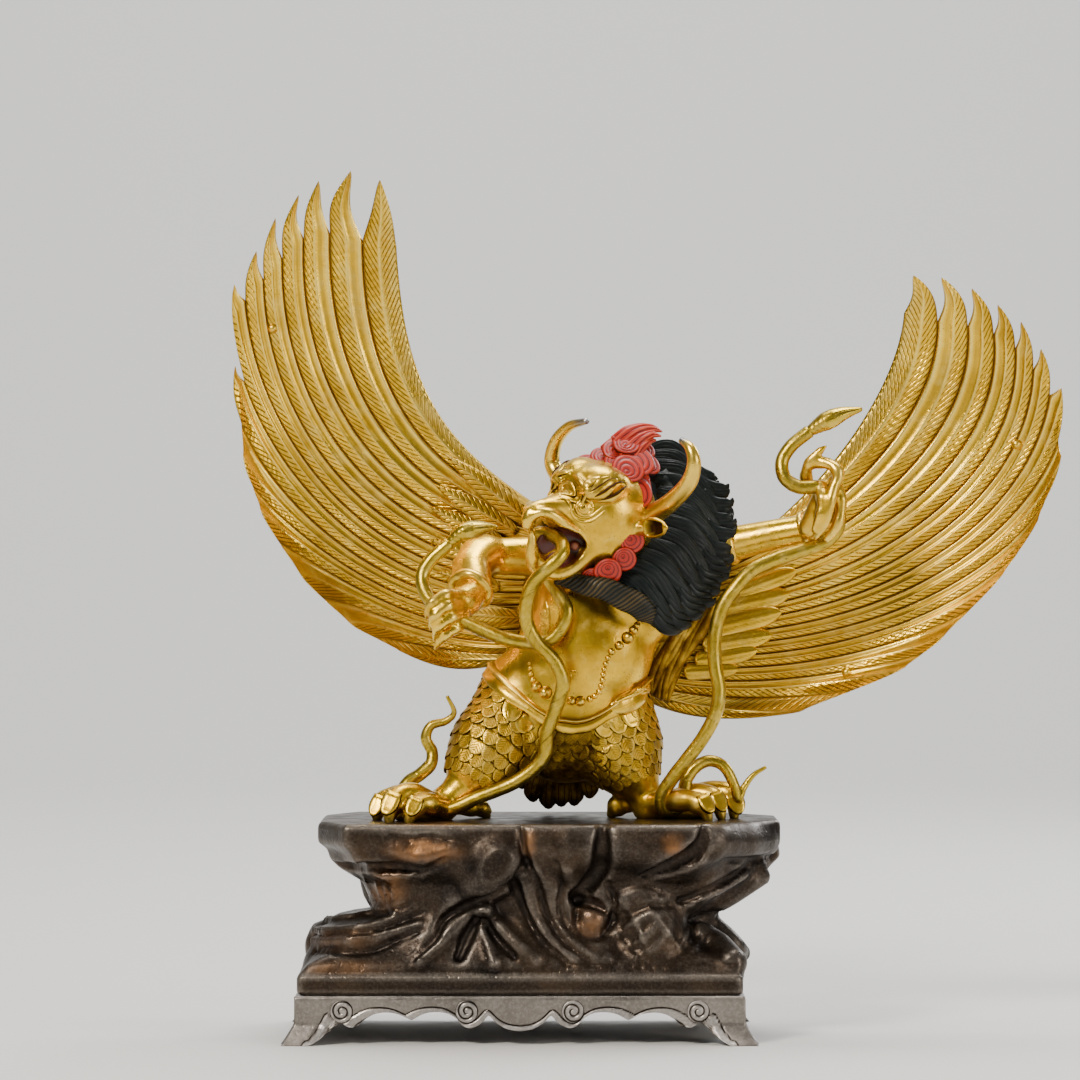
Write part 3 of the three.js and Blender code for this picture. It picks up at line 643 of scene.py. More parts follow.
materials = {
    "body": newMaterial("body gilding", "gilding", {
        "Gold": (0.86, 0.54, 0.03), "Deep Gold": (0.5, 0.28, 0.012), "Pale Gold": (1.0, 0.76, 0.18),
        "Dirt": (0.05, 0.02, 0.006)}),
    "wing": newMaterial("wing gilding", "gilding", {
        "Gold": (0.88, 0.56, 0.035), "Deep Gold": (0.54, 0.31, 0.014), "Pale Gold": (1.0, 0.8, 0.22),
        "Dirt": (0.12, 0.05, 0.01), "Patch Scale": 32.0, "Dirt Reach": 0.7}, bump=0.45),
    "snake": newMaterial("snake gilding", "gilding", {
        "Gold": (0.6, 0.42, 0.04), "Deep Gold": (0.4, 0.26, 0.02), "Pale Gold": (0.88, 0.7, 0.2),
        "Dirt": (0.03, 0.02, 0.008), "Patch Scale": 60.0}, bump=0.5),
    "black": newMaterial("black paint", "paint", {
        "Paint": (0.004, 0.007, 0.0065), "Edge": (0.02, 0.027, 0.024), "Hollow": (0.001, 0.0015, 0.0015),
        "Edge Start": 0.4, "Edge End": 1.2}, metal=0.0, bump=0.25, shine=0.22),
    "red": newMaterial("coral red paint", "paint", {
        "Paint": (0.36, 0.012, 0.003), "Edge": (0.7, 0.1, 0.045), "Hollow": (0.05, 0.001, 0.001),
        "Edge Start": 0.6, "Edge End": 1.1}, metal=0.0, bump=0.2, shine=0.4),
    "maroon": newMaterial("maroon paint", "paint", {
        "Paint": (0.09, 0.014, 0.008), "Edge": (0.3, 0.1, 0.05), "Hollow": (0.02, 0.003, 0.002)}, metal=0.0),
    "rock": newMaterial("rock patina", "patina", {
        "Dark": (0.012, 0.008, 0.006), "Brown": (0.045, 0.028, 0.016), "Sheen": (0.26, 0.225, 0.19),
        "Warm": (0.26, 0.12, 0.045), "Grit": 0.14}, metal=0.8, grain=700.0, pits=0.5, bump=0.3, depth=0.0006),
    "stand": newMaterial("stand bronze", "patina", {
        "Dark": (0.17, 0.15, 0.13), "Brown": (0.27, 0.24, 0.21), "Sheen": (0.55, 0.52, 0.5),
        "Warm": (0.5, 0.33, 0.12)}, metal=0.85, grain=700.0, pits=0.4),
}
addBarbs(materials["body"], 0.4)
addBarbs(materials["wing"], 0.8)
addGoldRubs(materials["black"])
print("materials are mixed")


# Geometry Nodes: copies set on points, and bodies swept along a line.

def newGeometryTree(name, inputs):
    tree = bpy.data.node_groups.new(name, "GeometryNodeTree")
    tree.is_modifier = True
    for label, kind in (("Geometry", "Geometry"), *inputs):
        tree.interface.new_socket(label, in_out="INPUT", socket_type="NodeSocket" + kind)
    tree.interface.new_socket("Geometry", in_out="OUTPUT", socket_type="NodeSocketGeometry")
    return tree, addNode(tree, "NodeGroupInput").outputs


def geometry(tree, kind, inputs, **settings):
    return addNode(tree, "GeometryNode" + kind, inputs, **settings).outputs[0]


def readMark(tree, name, kind):
    return geometry(tree, "InputNamedAttribute", {"Name": name}, data_type=kind)


def endTree(tree, made, material):
    whole = geometry(tree, "RealizeInstances", {"Geometry": made})
    addNode(tree, "NodeGroupOutput", {0: geometry(tree, "SetMaterial", {"Geometry": whole, "Material": material})})
    return tree


def buildCopiesTree():
    tree, given = newGeometryTree("setCopies", [("Copy", "Object"), ("Material", "Material")])
    template = addNode(tree, "GeometryNodeObjectInfo", {"Object": given["Copy"]}).outputs["Geometry"]
    turn = addNode(tree, "FunctionNodeEulerToRotation", {0: readMark(tree, "turn", "FLOAT_VECTOR")}).outputs[0]
    points = geometry(tree, "MeshToPoints", {"Mesh": given["Geometry"]})
    copies = geometry(tree, "InstanceOnPoints", {"Points": points, "Instance": template, "Rotation": turn,
                                                 "Scale": readMark(tree, "size", "FLOAT_VECTOR")})
    return endTree(tree, copies, given["Material"])


def buildSweepTree():
    tree, given = newGeometryTree("sweepBody", [("Sides", "Int"), ("Material", "Material")])
    radius = readMark(tree, "radius", "FLOAT")
    line = geometry(tree, "MeshToCurve", {"Mesh": given["Geometry"]})
    line = geometry(tree, "SetCurveRadius", {"Curve": line, "Radius": radius})
    share = addNode(tree, "GeometryNodeSplineParameter").outputs
    line = geometry(tree, "StoreNamedAttribute", {"Geometry": line, "Name": "along", "Value": share["Length"]})
    ring = geometry(tree, "CurvePrimitiveCircle", {"Resolution": given["Sides"], "Radius": 1.0})
    ring = geometry(tree, "StoreNamedAttribute", {"Geometry": ring, "Name": "around", "Value": share["Factor"]})
    body = addNode(tree, "GeometryNodeCurveToMesh", {"Curve": line, "Profile Curve": ring, "Fill Caps": True})
    if "Scale" in body.inputs:
        tree.links.new(radius, body.inputs["Scale"])
    return endTree(tree, body.outputs[0], given["Material"])


trees = {"copies": buildCopiesTree(), "sweep": buildSweepTree()}


def readValues(layer, field, count, kind=float):
    values = np.empty(count, kind)
    layer.foreach_get(field, values)
    return values


def runTree(thing, tree, values):
    # Applies a tree to an object and gives the plain mesh's arrays back in millimetres.
    modifier = thing.modifiers.new(tree.name, "NODES")
    modifier.node_group = tree
    sockets = {item.name: item.identifier for item in tree.interface.items_tree if item.in_out == "INPUT"}
    for label, value in values.items():
        modifier[sockets[label]] = value
    graph = bpy.context.evaluated_depsgraph_get()
    mesh = bpy.data.meshes.new_from_object(thing.evaluated_get(graph), depsgraph=graph)
    verts = readValues(mesh.vertices, "co", len(mesh.vertices) * 3).reshape(-1, 3)
    sizes = readValues(mesh.polygons, "loop_total", len(mesh.polygons), int)
    corners = readValues(mesh.loops, "vertex_index", len(mesh.loops), int)
    starts = np.cumsum(sizes) - sizes
    marks = {layer.name: readValues(layer.data, "value", len(verts)) for layer in mesh.attributes
             if layer.domain == "POINT" and layer.data_type == "FLOAT"}
    fans = [[corners[a], corners[a + k], corners[a + k + 1]]
            for a, n in zip(starts[sizes > 4], sizes[sizes > 4]) for k in range(1, n - 1)]
    tris = corners[starts[sizes == 3][:, None] + np.arange(3)]
    thing.modifiers.remove(modifier)
    bpy.data.objects.remove(thing)
    bpy.data.meshes.remove(mesh)
    return makePart(verts, corners[starts[sizes == 4][:, None] + np.arange(4)],
                    np.vstack([tris, fans]) if fans else tris, **marks)


def scratchObject(points, edges=(), faces=(), marks={}):
    mesh = bpy.data.meshes.new("scratch")
    mesh.from_pydata(np.asarray(points).tolist(), edges, faces)
    for key, values in marks.items():
        values = np.asarray(values, np.float32)
        kind, field = (("FLOAT", "value"), ("FLOAT_VECTOR", "vector"))[values.ndim - 1]
        mesh.attributes.new(key, kind, "POINT").data.foreach_set(field, values.ravel())
    return addObject("scratch", mesh)


def setCopies(part, points, up, ahead, sizes, material):
    # Copies of one small part: its z follows `up`, its y follows `ahead`; sizes are one or three per copy.
    axisZ = unitRows(np.asarray(up, float))
    axisY = np.broadcast_to(np.asarray(ahead, float), axisZ.shape)
    axisY = unitRows(axisY - axisZ * np.einsum("ij,ij->i", axisY, axisZ)[:, None])
    axisX = np.cross(axisY, axisZ)
    turns = np.stack([np.arctan2(axisY[:, 2], axisZ[:, 2]), -np.arcsin(np.clip(axisX[:, 2], -1, 1)),
                      np.arctan2(axisX[:, 1], axisX[:, 0])], 1)
    sizes = np.asarray(sizes, float).reshape(len(points), -1) * np.ones(3)
    template = scratchObject(part["verts"], faces=[f for faces in faceLists(outward(part)) for f in faces.tolist()],
                             marks=part["marks"])
    thing = scratchObject(points, marks={"turn": turns, "size": sizes})
    made = runTree(thing, trees["copies"], {"Copy": template, "Material": materials[material]})
    bpy.data.objects.remove(template)
    return made


def sweep(points, radii, sides, rows, material):
    shares = evenShares(points, rows)
    line = scratchObject(onCurve(points, shares), [(k, k + 1) for k in range(rows - 1)],
                         marks={"radius": onList(radii, shares)})
    return runTree(line, trees["sweep"], {"Sides": sides, "Material": materials[material]})


# The gilt body: torso, thighs, arms, hands and feet in one clay.

body = {
    "pitch": 1.3,
    "torso": [[24, 3, 44], [24, 3, 52], [24, 2, 61], [27, -1, 74], [35, -2, 88], [39, 0, 103], [44, 3, 118],
              [48, 4, 131], [48, 2, 142]],
    "torsoGirth": [22, 34, 38, 35, 34, 33.5, 35, 37, 26],
    "leftLeg": [[2, 2, 66], [-5, -2, 50], [-13, -7, 38], [-20, -12, 28], [-26, -15, 20], [-34, -18, 13],
        [-41, -19, 7]],
    "leftGirth": [22, 22.5, 23, 18.5, 12, 8.5, 9],
    "rightLeg": [[42, 4, 66], [46, 4, 50], [50, 3, 38], [55, 1, 28], [60, -1, 20], [64, -2, 13], [67, -3, 7]],
    "rightGirth": [23, 24, 23.5, 17.5, 12, 8.5, 9],
}
toes = [
    ([[-42, -14, 8], [-56, -14, 12], [-67, -16, 11.5], [-72.5, -18, 7], [-74, -20, 1]], 5.8),
    ([[-41, -22, 7], [-52, -28, 12.5], [-61, -34, 13.5], [-65.5, -38, 8.5], [-67, -41, 1]], 6.2),
    ([[-38, -24, 6], [-45, -34, 9], [-51, -40, 9.5], [-55, -43, 6.5], [-57, -45, 1]], 5.6),
    ([[-35, -14, 7], [-26, -6, 6], [-20, 0, 5], [-17, 3, 1]], 4.5),
    ([[68, -8, 8], [80, -18, 10], [88, -24, 10.5], [94, -27, 7.5], [97, -28, 1]], 5.6),
    ([[70, -2, 8], [86, -7, 12], [96, -11, 13], [102, -14, 9], [104, -16, 1]], 5.6),
    ([[67, 2, 8], [86, 3, 10], [103, 0, 14], [110, -2, 11], [111, -4, 1]], 6.0),
    ([[62, 0, 9], [53, 4, 8], [47, 6, 2]], 5.5),
]
fingers = [
    [[-30, -40, 116], [-38, -51, 116.5], [-44.5, -54, 112.5], [-47, -51, 107.5]],
    [[-30, -42, 111], [-37, -53, 111], [-43, -55, 106.5], [-45, -51, 101.5]],
    [[-29, -42, 106.5], [-35, -51, 105], [-41, -53, 101], [-43, -49, 96]],
    [[-28, -39, 103], [-33, -46, 99.5], [-38, -48, 96], [-42, -46, 91.5]],
    [[152, -15, 168], [147.5, -20, 177], [149, -24, 184], [154.5, -26, 190.5]],
    [[153, -24, 184.5], [158, -27, 184], [162.5, -29, 181], [163.5, -30, 177.5], [161, -31, 171],
     [159, -32, 163],
     [156.5, -31, 153], [152, -27, 146.5]],
    [[162, -24, 175], [164.5, -26, 168], [165, -27, 160], [162.5, -27, 151], [158, -26, 145]],
    [[154, -26, 172], [155.5, -30, 166], [154.5, -31, 158], [151.5, -29, 150]],
]
plates = [((376.5, 806), (8.5, 12, 1.9)), ((389.5, 804), (10, 13.5, 2.1)), ((413, 807), (9, 11, 2.0)),
          ((707, 804), (8.5, 11.5, 2.0)), ((720, 802), (8, 12, 1.9)), ((736, 803), (10, 13, 1.8))]

def makeBodyClay():
    clay = newClay([-82, -62, -2], [176, 46, 198], body["pitch"])
    addLimb(clay, body["torso"], body["torsoGirth"], 1.0, (1, 0.78, 1))
    addLimb(clay, [[38, -12, 90]], [25], 7.0, (1.05, 0.8, 1))
    addLimb(clay, [[60, -14, 116], [66, -8, 104]], [18, 12], 6.0)
    addLimb(clay, [[26, -14, 112], [34, -16, 104]], [16, 14], 6.0)
    addLimb(clay, [[48, 4, 130], [45, -8, 142], [43, -16, 152]], [26, 21, 20], 3.0)
    addLimb(clay, body["leftLeg"], body["leftGirth"], 3.0)
    addLimb(clay, body["rightLeg"], body["rightGirth"], 3.0)
    addLimb(clay, [[30, 8, 134], [5, 6, 136], [-14, 1, 136], [-22, -4, 136]], [14, 10.5, 9.5, 10], 4.0)
    addLimb(clay, [[-18, -1, 137], [-25, -12, 130], [-24, -22, 121]], [10.5, 10.5, 9.8], 2.0)
    addLimb(clay, [[-23, -26, 118], [-30, -36, 113], [-37, -41, 111]], [7, 8, 5], 2.5)
    addLimb(clay, [[86, 8, 138], [112, 3, 143], [130, -2, 147], [149, -8, 151]], [12, 9, 8, 7], 3.0)
    addLimb(clay, [[151, -9, 153], [158, -10, 160], [161, -11, 167]], [6.5, 8.4, 6], 2.0, (1, 0.62, 1))
    for points, girth in toes:
        # Thick toes swell at two knuckles.
        girths = [girth, girth * 0.92, girth * 1.12, girth * 0.95, girth * 1.06, girth * 0.7, girth * 0.42]
        addLimb(clay, np.array(points) - [0, 0, 0.3], girths, 1.6)
    for points in fingers:
        addLimb(clay, points, [3.4, 3.0, 3.6, 2.8, 3.2, 2.6, 2.0], 1.0)
    addLimb(clay, [[149, -20, 151], [154, -23, 160], [157, -24, 170]], [5.5, 6.6, 5.4], 2.0, (1, 0.8, 1))
    addLimb(clay, [[-33, -38, 108], [-26, -30, 112]], [5.5, 6.0], 2.0)
    # The pad under each foot meets the slab.
    addLimb(clay, [[-44, -20, 3.5], [-60, -26, 3]], [7, 5.5], 2.0, (1, 1, 0.7))
    addLimb(clay, [[66, -4, 3.5], [92, -6, 3]], [7, 5.5], 2.0, (1, 1, 0.7))
    # The elbow's inner fold and the line between chest and arm.
    carveLimb(clay, [[-19, -13, 122], [-13, -16, 132], [-12, -15, 143]], [0.9, 1.2, 0.8], 1.2)
    return clay


claw = {"sides": 14, "rows": 18, "girth": (0.66, 0.78, 0.5)}


def clawShape(u, turn):
    return 1 + 0.12 * bump(u, 0.3, 0.07), 0.5 * bump(u, 0.3, 0.08)


def clawPart(points, girth):
    points = np.array(points, float)
    base = mix(points[-2], points[-1], 0.05)
    ahead = unit(points[-1] - points[-2])
    knee = base + ahead * 3 + [np.sign(ahead[0]) * 1.5, -0.6, 0.8]
    return loft([base - ahead * 2.2, base, knee, points[-1] + [0, 0, 0.6]], [girth * g for g in claw["girth"]] + [0.5],
                claw["sides"], claw["rows"], shape=clawShape)


def ringPart(centre, axis, radius, thick, tall, wobble=0.0, flare=0.0, rows=96, sides=12):
    # A plain rim round a limb, with an uneven edge where `wobble` is given.
    axis = unit(np.array(axis, float))
    side = unit(np.cross(axis, [0.2, 0.3, 0.93]))
    turn, section = turnsOf(rows)[:, None], turnsOf(sides)
    way = side * np.cos(turn) + np.cross(axis, side) * np.sin(turn)
    lift = np.sin(section) * tall
    rise = lift + np.maximum(lift, 0) / tall * wobble * (np.sin(turn * 5 + 1) + 0.6 * np.sin(turn * 11 + 2))
    out = radius + np.cos(section) * thick + flare * rise
    rings = np.array(centre) + way[:, None, :] * out[..., None] + axis * rise[..., None]
    return wheelPart(rings, np.tile(np.maximum(np.cos(section), 0) * 0.6, rows))


def shellPart(top, rim, floor, **marks):
    # A closed shell: a grid of points, a wall under its rim and a fan to the middle of its floor.
    n, k = len(rim), np.arange(len(rim))
    rows, columns, _ = top.shape
    count = rows * columns
    wall = np.stack([rim, rim[(k + 1) % n], count + (k + 1) % n, count + k], 1)
    base = np.stack([count + k, count + (k + 1) % n, np.full(n, count + n)], 1)
    marks = {key: np.append(values, np.full(n + 1, low)) for key, (values, low) in marks.items()}
    quads = np.vstack([sheetFaces(rows, columns), wall[:, ::-1]])
    return makePart(np.vstack([top.reshape(-1, 3), floor]), quads, base[:, ::-1], **marks)


def rimOf(rows, columns):
    # The numbers of a grid's border points, all the way round.
    last = columns * (rows - 1)
    return np.concatenate([np.arange(columns), columns * np.arange(1, rows) + columns - 1,
                           last + np.arange(columns - 2, -1, -1), columns * np.arange(rows - 2, 0, -1)])


def scaleTemplate(plain=False):
    # One scale: z out, tip toward -y, with a raised border and a cut midline.
    # The raised border takes a painted highlight; the outermost rim and the underside take painted shadow.
    across = np.array([-1, -0.8, -0.42, 0, 0.42, 0.8, 1])
    t = np.array([0.0, 0.25, 0.45, 0.63, 0.79, 0.91, 1.0]) * 0.99
    half = 0.5 * (1 - np.maximum(0, (t - 0.42) / 0.58)**2.2)**0.74 * (0.86 + 0.14 * step(0, 0.4, t))
    x = across[None, :] * half[:, None]
    y = np.repeat((0.5 - t)[:, None], len(across), 1)
    edge = np.maximum(np.abs(across)[None, :], step(0.7, 0.99, t)[:, None] + 0 * x)
    carved = 0.0 if plain else 1.0
    lift = (0.25 + 1.0 * t)[:, None] - 1.5 * x**2 + 0.28 * step(0.55, 0.82, edge) - 0.5 * step(0.9, 1.0, edge)
    top = np.stack([x, y, lift - 0.16 * carved * (across == 0)], -1)
    rim = rimOf(len(t), len(across))
    low = top.reshape(-1, 3)[rim] * [0.92, 0.94, 0] + [0, 0, -0.7]
    relief = 0.6 * step(0.5, 0.8, edge) - 0.4 * carved * (across == 0) - 2.2 * step(0.8, 1.0, edge)
    return shellPart(top, rim, np.vstack([low, [0, 0, -0.7]]), relief=(relief, -0.8), grime=(0 * x, 0.8),
                     vane=(step(0.95, 0.5, edge) * carved, 0), phase=((y + 0.9 * np.abs(x)) * 5.5, 0))


def toePlates(clay):
    # A rounded shield with a raised edge covers the end of each front toe, and a smaller one its knuckle.
    seats = seatPixels(clay, [place for place, _ in plates])
    normals = unitRows(clayNormals(clay, seats) + [0, -0.6, 0.25])
    ahead = np.sign(10 - seats[:, :1]) * [0.35, 0, 0] + [0, 0, 1]
    return setCopies(scaleTemplate(True), seats - normals * 0.4, normals, ahead, [size for _, size in plates], "body")


def makeBody():
    clay = makeBodyClay()
    skin = addCurvature(claySkin(clay), 1.6)
    x, y, z = skin["verts"].T
    # Painted shade darkens the body under the mane, between the legs and beside the feet.
    between = 0.7 * step(60, 50, z) * step(30, 18, np.abs(x - 24))
    skin["marks"]["grime"] = np.maximum.reduce([0.8 * step(-6, 14, y) * step(90, 60, z), 0.75 * step(5, 0.5, z), between])
    parts = [skin] + [clawPart(points, girth) for points, girth in toes]
    for points in fingers[:5]:
        last, tip = np.array(points[-2:])
        parts.append(loft([last, tip, 2 * tip - mix(last, tip, 0.5) + [0.3, 0, -0.8]], [2.4, 2.0, 0.4], 12, 12))
    parts.append(ringPart([-25.5, -24, 119], [-0.35, -0.75, -0.55], 9.6, 2.9, 3.1, 0.25))
    parts.append(toePlates(clay))
    parts.append(ringPart([147.5, -7.5, 150.5], [0.9, -0.3, 0.28], 7.6, 1.5, 1.7, 0.3))
    parts.append(ringPart([150.5, -8.5, 151.6], [0.9, -0.3, 0.28], 7.0, 0.9, 1.0))
    parts.append(ringPart([110.5, 3.5, 142.6], [-0.97, 0.2, -0.18], 10.0, 1.1, 2.2, 0.5, 0.3))
    makePiece("gilt_body", "garuda_figure", parts, ["body"])
    return clay


bodyClay = makeBody()
print("body is modelled")


# The head is shaped in its own frame: x to the near side, y to the back, z up.

head = {
    "pitch": 0.84,
    "centre": (42.7, -24.0, 154.8),
    "forward": (-0.78, -0.61, -0.13),
    "up": (0.06, -0.29, 0.96),
    "brow": [(577, 491), (587, 494), (598, 496), (609, 496), (619, 493.5), (627, 488)],
    "browStrands": [
        ([(577, 489), (583, 487), (589, 484), (595, 480), (600, 477.5)], [0.9, 1.9, 2.3, 1.9, 0.9]),
        ([(579, 493), (588, 491), (596, 486.5), (603, 481), (610, 477.5)], [0.9, 2.0, 2.5, 2.1, 0.9]),
        ([(583, 496.5), (594, 494.5), (603, 490), (610, 484), (617, 480)], [0.9, 2.1, 2.6, 2.2, 0.9]),
        ([(590, 499.5), (602, 496.5), (611, 491), (618, 486), (622, 485), (625, 488)],
         [0.9, 2.1, 2.5, 2.1, 1.5, 0.8]),
        ([(597, 501.5), (608, 500.5), (617, 496.5), (623, 491), (626, 487)], [0.9, 2.2, 2.5, 1.9, 0.8]),
    ],
    "folds": [
        ([(573, 509), (576, 514), (583, 517.5), (592, 515.5), (599, 510), (604, 505)],
         [0.6, 0.9, 1.0, 1.0, 0.8, 0.4]),
        ([(570, 508), (573, 516), (582, 521.5), (593, 520), (602, 513), (608, 507)],
         [0.4, 0.8, 0.9, 0.9, 0.7, 0.3]),
        ([(549, 495), (549.5, 486), (555, 478), (562, 473), (569, 472)], [0.8, 1.4, 1.6, 1.5, 0.8]),
        ([(554, 496), (554, 489), (558, 482), (565, 478.5)], [0.6, 1.1, 1.2, 0.6]),
        ([(560, 497), (560, 489), (566, 482.5), (573, 485), (574, 491.5), (569, 494.5), (566, 490)],
         [0.8, 1.3, 1.4, 1.3, 1.2, 1.0, 0.7]),
        ([(556, 500), (562, 498.5), (567, 500), (570, 505), (571, 511)], [0.6, 1.1, 1.2, 1.1, 0.6]),
    ],
    "ear": [[20, 3, 0.4], [25.5, 3, 2.2], [29.5, 3.2, 3.4], [34, 3.4, 4.6], [39, 3.2, 6], [44, 3, 7.4],
        [47.8, 2.6, 8.6]],
    "earGirth": [4.2, 3.8, 4.4, 5.6, 5.4, 3.6, 0.5],
    "hornGirth": [6.2, 5.3, 4.7, 4.2, 3.6, 2.8, 1.6],
    "nearHorn": [[14, 8, 1], [27, 12, 9.5], [41, 12, 21], [51.6, 12, 33.5], [53.6, 12, 43.6],
        [49.8, 12, 49.9], [42.4, 12, 52.3]],
    "farHorn": [[-14, 8, 2], [-40, 12, 4], [-51.3, 12, 7.5], [-58.6, 12, 14], [-57, 12, 25],
        [-47, 12, 36.5], [-32.6, 12, 43.3]],
}

# The open mouth's two hollows on the near side.
mouth = [([[10.5, -23.5, -7], [10.5, -29, -6], [10.5, -35, -4.5], [9.5, -40, -2], [8, -44, 1.5], [7, -46, 5]],
          [3.2, 6.4, 7.6, 6.8, 4.6, 2.6]),
         ([[10, -27, -10], [9.5, -33, -13], [8, -39, -11], [7, -43, -6]], [4, 5.2, 4.6, 3])]
mouthSquash = (1.2, 1, 1)


def headMatrix():
    back = unit(-np.array(head["forward"]))
    near = unit(np.cross(back, head["up"]))
    return np.column_stack([near, back, np.cross(near, back), head["centre"]])


def mirrored(points, side):
    return np.array(points) * [side, 1, 1]


def raised(clay, pixels, girths, blend=0.8, sink=0.0):
    # A fold laid on the clay along a line drawn in the picture, and its twin on the far side.
    seats = seatPixels(clay, alongCurve(pixels, 24) if len(pixels) > 1 else pixels)
    seats = seats - clayNormals(clay, seats) * sink
    for side in (1, -1):
        addLimb(clay, mirrored(seats, side), girths, blend)


def makeHeadClay():
    clay = newClay([-52, -58, -34], [52, 36, 34], head["pitch"], headMatrix())
    addLimb(clay, [[0, 1, 1]], [25], 0.5, (1, 1.12, 1.08))
    addLimb(clay, [[0, -2, 7.5]], [23.2], 6.0, (1, 1.08, 1))
    addLimb(clay, [[0, -18, 5], [0, -26, 7.5], [0, -33, 9.5], [0, -39, 11.8], [0, -45, 12.6], [0, -49, 10.5],
                   [0, -50.6, 6.5], [0, -50, 3], [0, -48.8, 0.9]],
            [14, 11, 8, 4.8, 3.2, 2.9, 2.6, 1.9, 1.0], 3.0)
    addLimb(clay, [[0, -10, -12], [0, -22, -17], [0, -32, -19], [0, -39, -19], [0, -44.5, -14], [0, -46.2, -8],
                   [0, -46.4, -3], [0, -46.8, 0]], [17, 12, 8.5, 6, 4.2, 3, 2, 0.9], 3.0)
    for side in (1, -1):
        addLimb(clay, [[7 * side, -4, -13]], [14.5], 4.0)
        # The upper beak's rim is a thick rolled band.
        addLimb(clay, mirrored([[11.5, -22, -7], [10.8, -26.5, -2.2], [10, -32, 3], [9, -37, 7.6], [7.2, -42, 11],
                                [4.4, -46.5, 11.2], [1.8, -49.3, 8], [0.5, -50, 4]], side),
                [3.4, 3.3, 3.3, 3.1, 2.8, 2.5, 2.2, 1.6], 2.2)
        addLimb(clay, mirrored([[13, -16, -9], [10, -27, -19], [7.5, -34, -22], [3.5, -40.5, -20.5],
                                [1, -44.5, -15]], side), [5, 4.2, 3.4, 3, 2.6], 2.5)
        for points, girths in mouth:
            carveLimb(clay, mirrored(points, side), girths, 1.4, mouthSquash)
    # Brow lobes hang over the eyeballs.
    raised(clay, [(583, 507)], [4.7], 1.0, 1.7)
    raised(clay, [(573, 476), (584, 478), (600, 480), (617, 482)], [8.5, 11, 12.5, 9.5], 2.2, 6.8)
    raised(clay, head["brow"], [1.8, 3.2, 3.8, 3.8, 3.2, 1.8], 1.0, 1.4)
    for side in (1, -1):
        addLimb(clay, mirrored([[18, 3, -1], [26, 3, 2.2], [30, 3, 3.4]], side), [5, 3.6, 2.6], 2.0)
        addLimb(clay, mirrored([[14, 8, 1], [20, 10, 4]], side), [7.5, 6.6], 2.5)
        addLimb(clay, mirrored(seatPixels(clay, [(575, 546)]), side), [2.6], 0.8)
    # The root of the beak is a lumpy fold.
    raised(clay, [(549, 491), (553, 482), (560, 475), (569, 473)], [1.6, 2.2, 2.2, 1.6], 1.2, 0.6)
    return clay


def foldParts(clay, pixels, girths, sink=0.35, rows=30, sides=14, wide=1.0):
    # A crisp fold seated on the skin along a line drawn in the picture, and its twin.
    seats, normals = seatLine(clay, pixels)
    seats = seats - normals * max(girths) * sink
    return [loft(toFigure(clay, mirrored(seats, side)), girths, sides, rows, wide=wide,
                 across=clay["matrix"][:, :3] @ mirrored(normals[0], side),
                 shape=lambda u, turn: (1.0, 0.35 - 1.5 * step(0.6, 0.95, np.abs(np.sin(turn)))))
            for side in (1, -1)]


def ringLine(x, y, reach, turns=1.0, start=0.0, shrink=0.0):
    t = np.linspace(0, 1, int(14 * turns) + 3)
    size = reach * (1 - shrink * t)
    angle = start + t * turns * 2 * math.pi
    return np.stack([x + size * np.cos(angle), y + size * np.sin(angle)], 1)


def faceParts(clay):
    # Brow strands, ringed eyes with their lids, and the scrolls beside the beak.
    parts = []
    for line, girths in head["browStrands"]:
        parts += foldParts(clay, line, np.array(girths) * 1.3, 0.0, 24, 18, 0.5)
    parts += foldParts(clay, ringLine(584.5, 507.5, 8.0), [1.25, 1.25], 0.3, 44)
    parts += foldParts(clay, ringLine(583, 507, 4.6, 1.5, 2.0, 0.7), [1.2, 1.1, 0.9], 0.25, 56)
    for line, girths in head["folds"]:
        parts += foldParts(clay, line, girths)
    return parts


def earPart(clay, side, rows=44, sides=56):
    # A leaf on a stalk, hollowed toward the front inside a thick rim; painted shade darkens the hollow.
    points = toFigure(clay, mirrored(head["ear"], side))
    shares = evenShares(points, rows)
    centre, along, up, front = curveFrames(points, shares, clay["matrix"][:, 2])
    turn = turnsOf(sides)
    radius = onList(head["earGirth"], shares)[:, None]
    hollow = (step(0.4, 0.52, shares) * step(0.9, 0.77, shares))[:, None] * step(0.6, 0.88, np.sin(turn))
    lift = np.sin(turn) * 0.55 * (1 - 1.8 * hollow)
    rings = (centre[:, None, :] + up[:, None, :] * (np.cos(turn) * radius)[..., None]
             + front[:, None, :] * (lift * radius * side)[..., None])
    rim = 0.8 * bump(np.sin(turn), 0.25, 0.2) * step(0.25, 0.4, shares)[:, None]
    return tubePart(rings, centre[0], centre[-1] + along[-1] * 0.3, relief=(rim, [0, 0]), grime=(hollow * 1.5, [0, 0]))


def hornPart(points):
    horn = loft(toFigure(headClay, points), head["hornGirth"], 32, 110,
                shape=lambda u, turn: (1 + 0.012 * np.sin(u * 70) * step(0.5, 0.1, u), 0.55))
    along = horn["marks"]["along"]
    # The horn's root is darkened with painted shade where it meets the head; its tip is worn bare.
    horn["marks"].update(bare=step(0.86, 0.97, along), grime=0.5 * step(0.12, 0.0, along))
    return horn


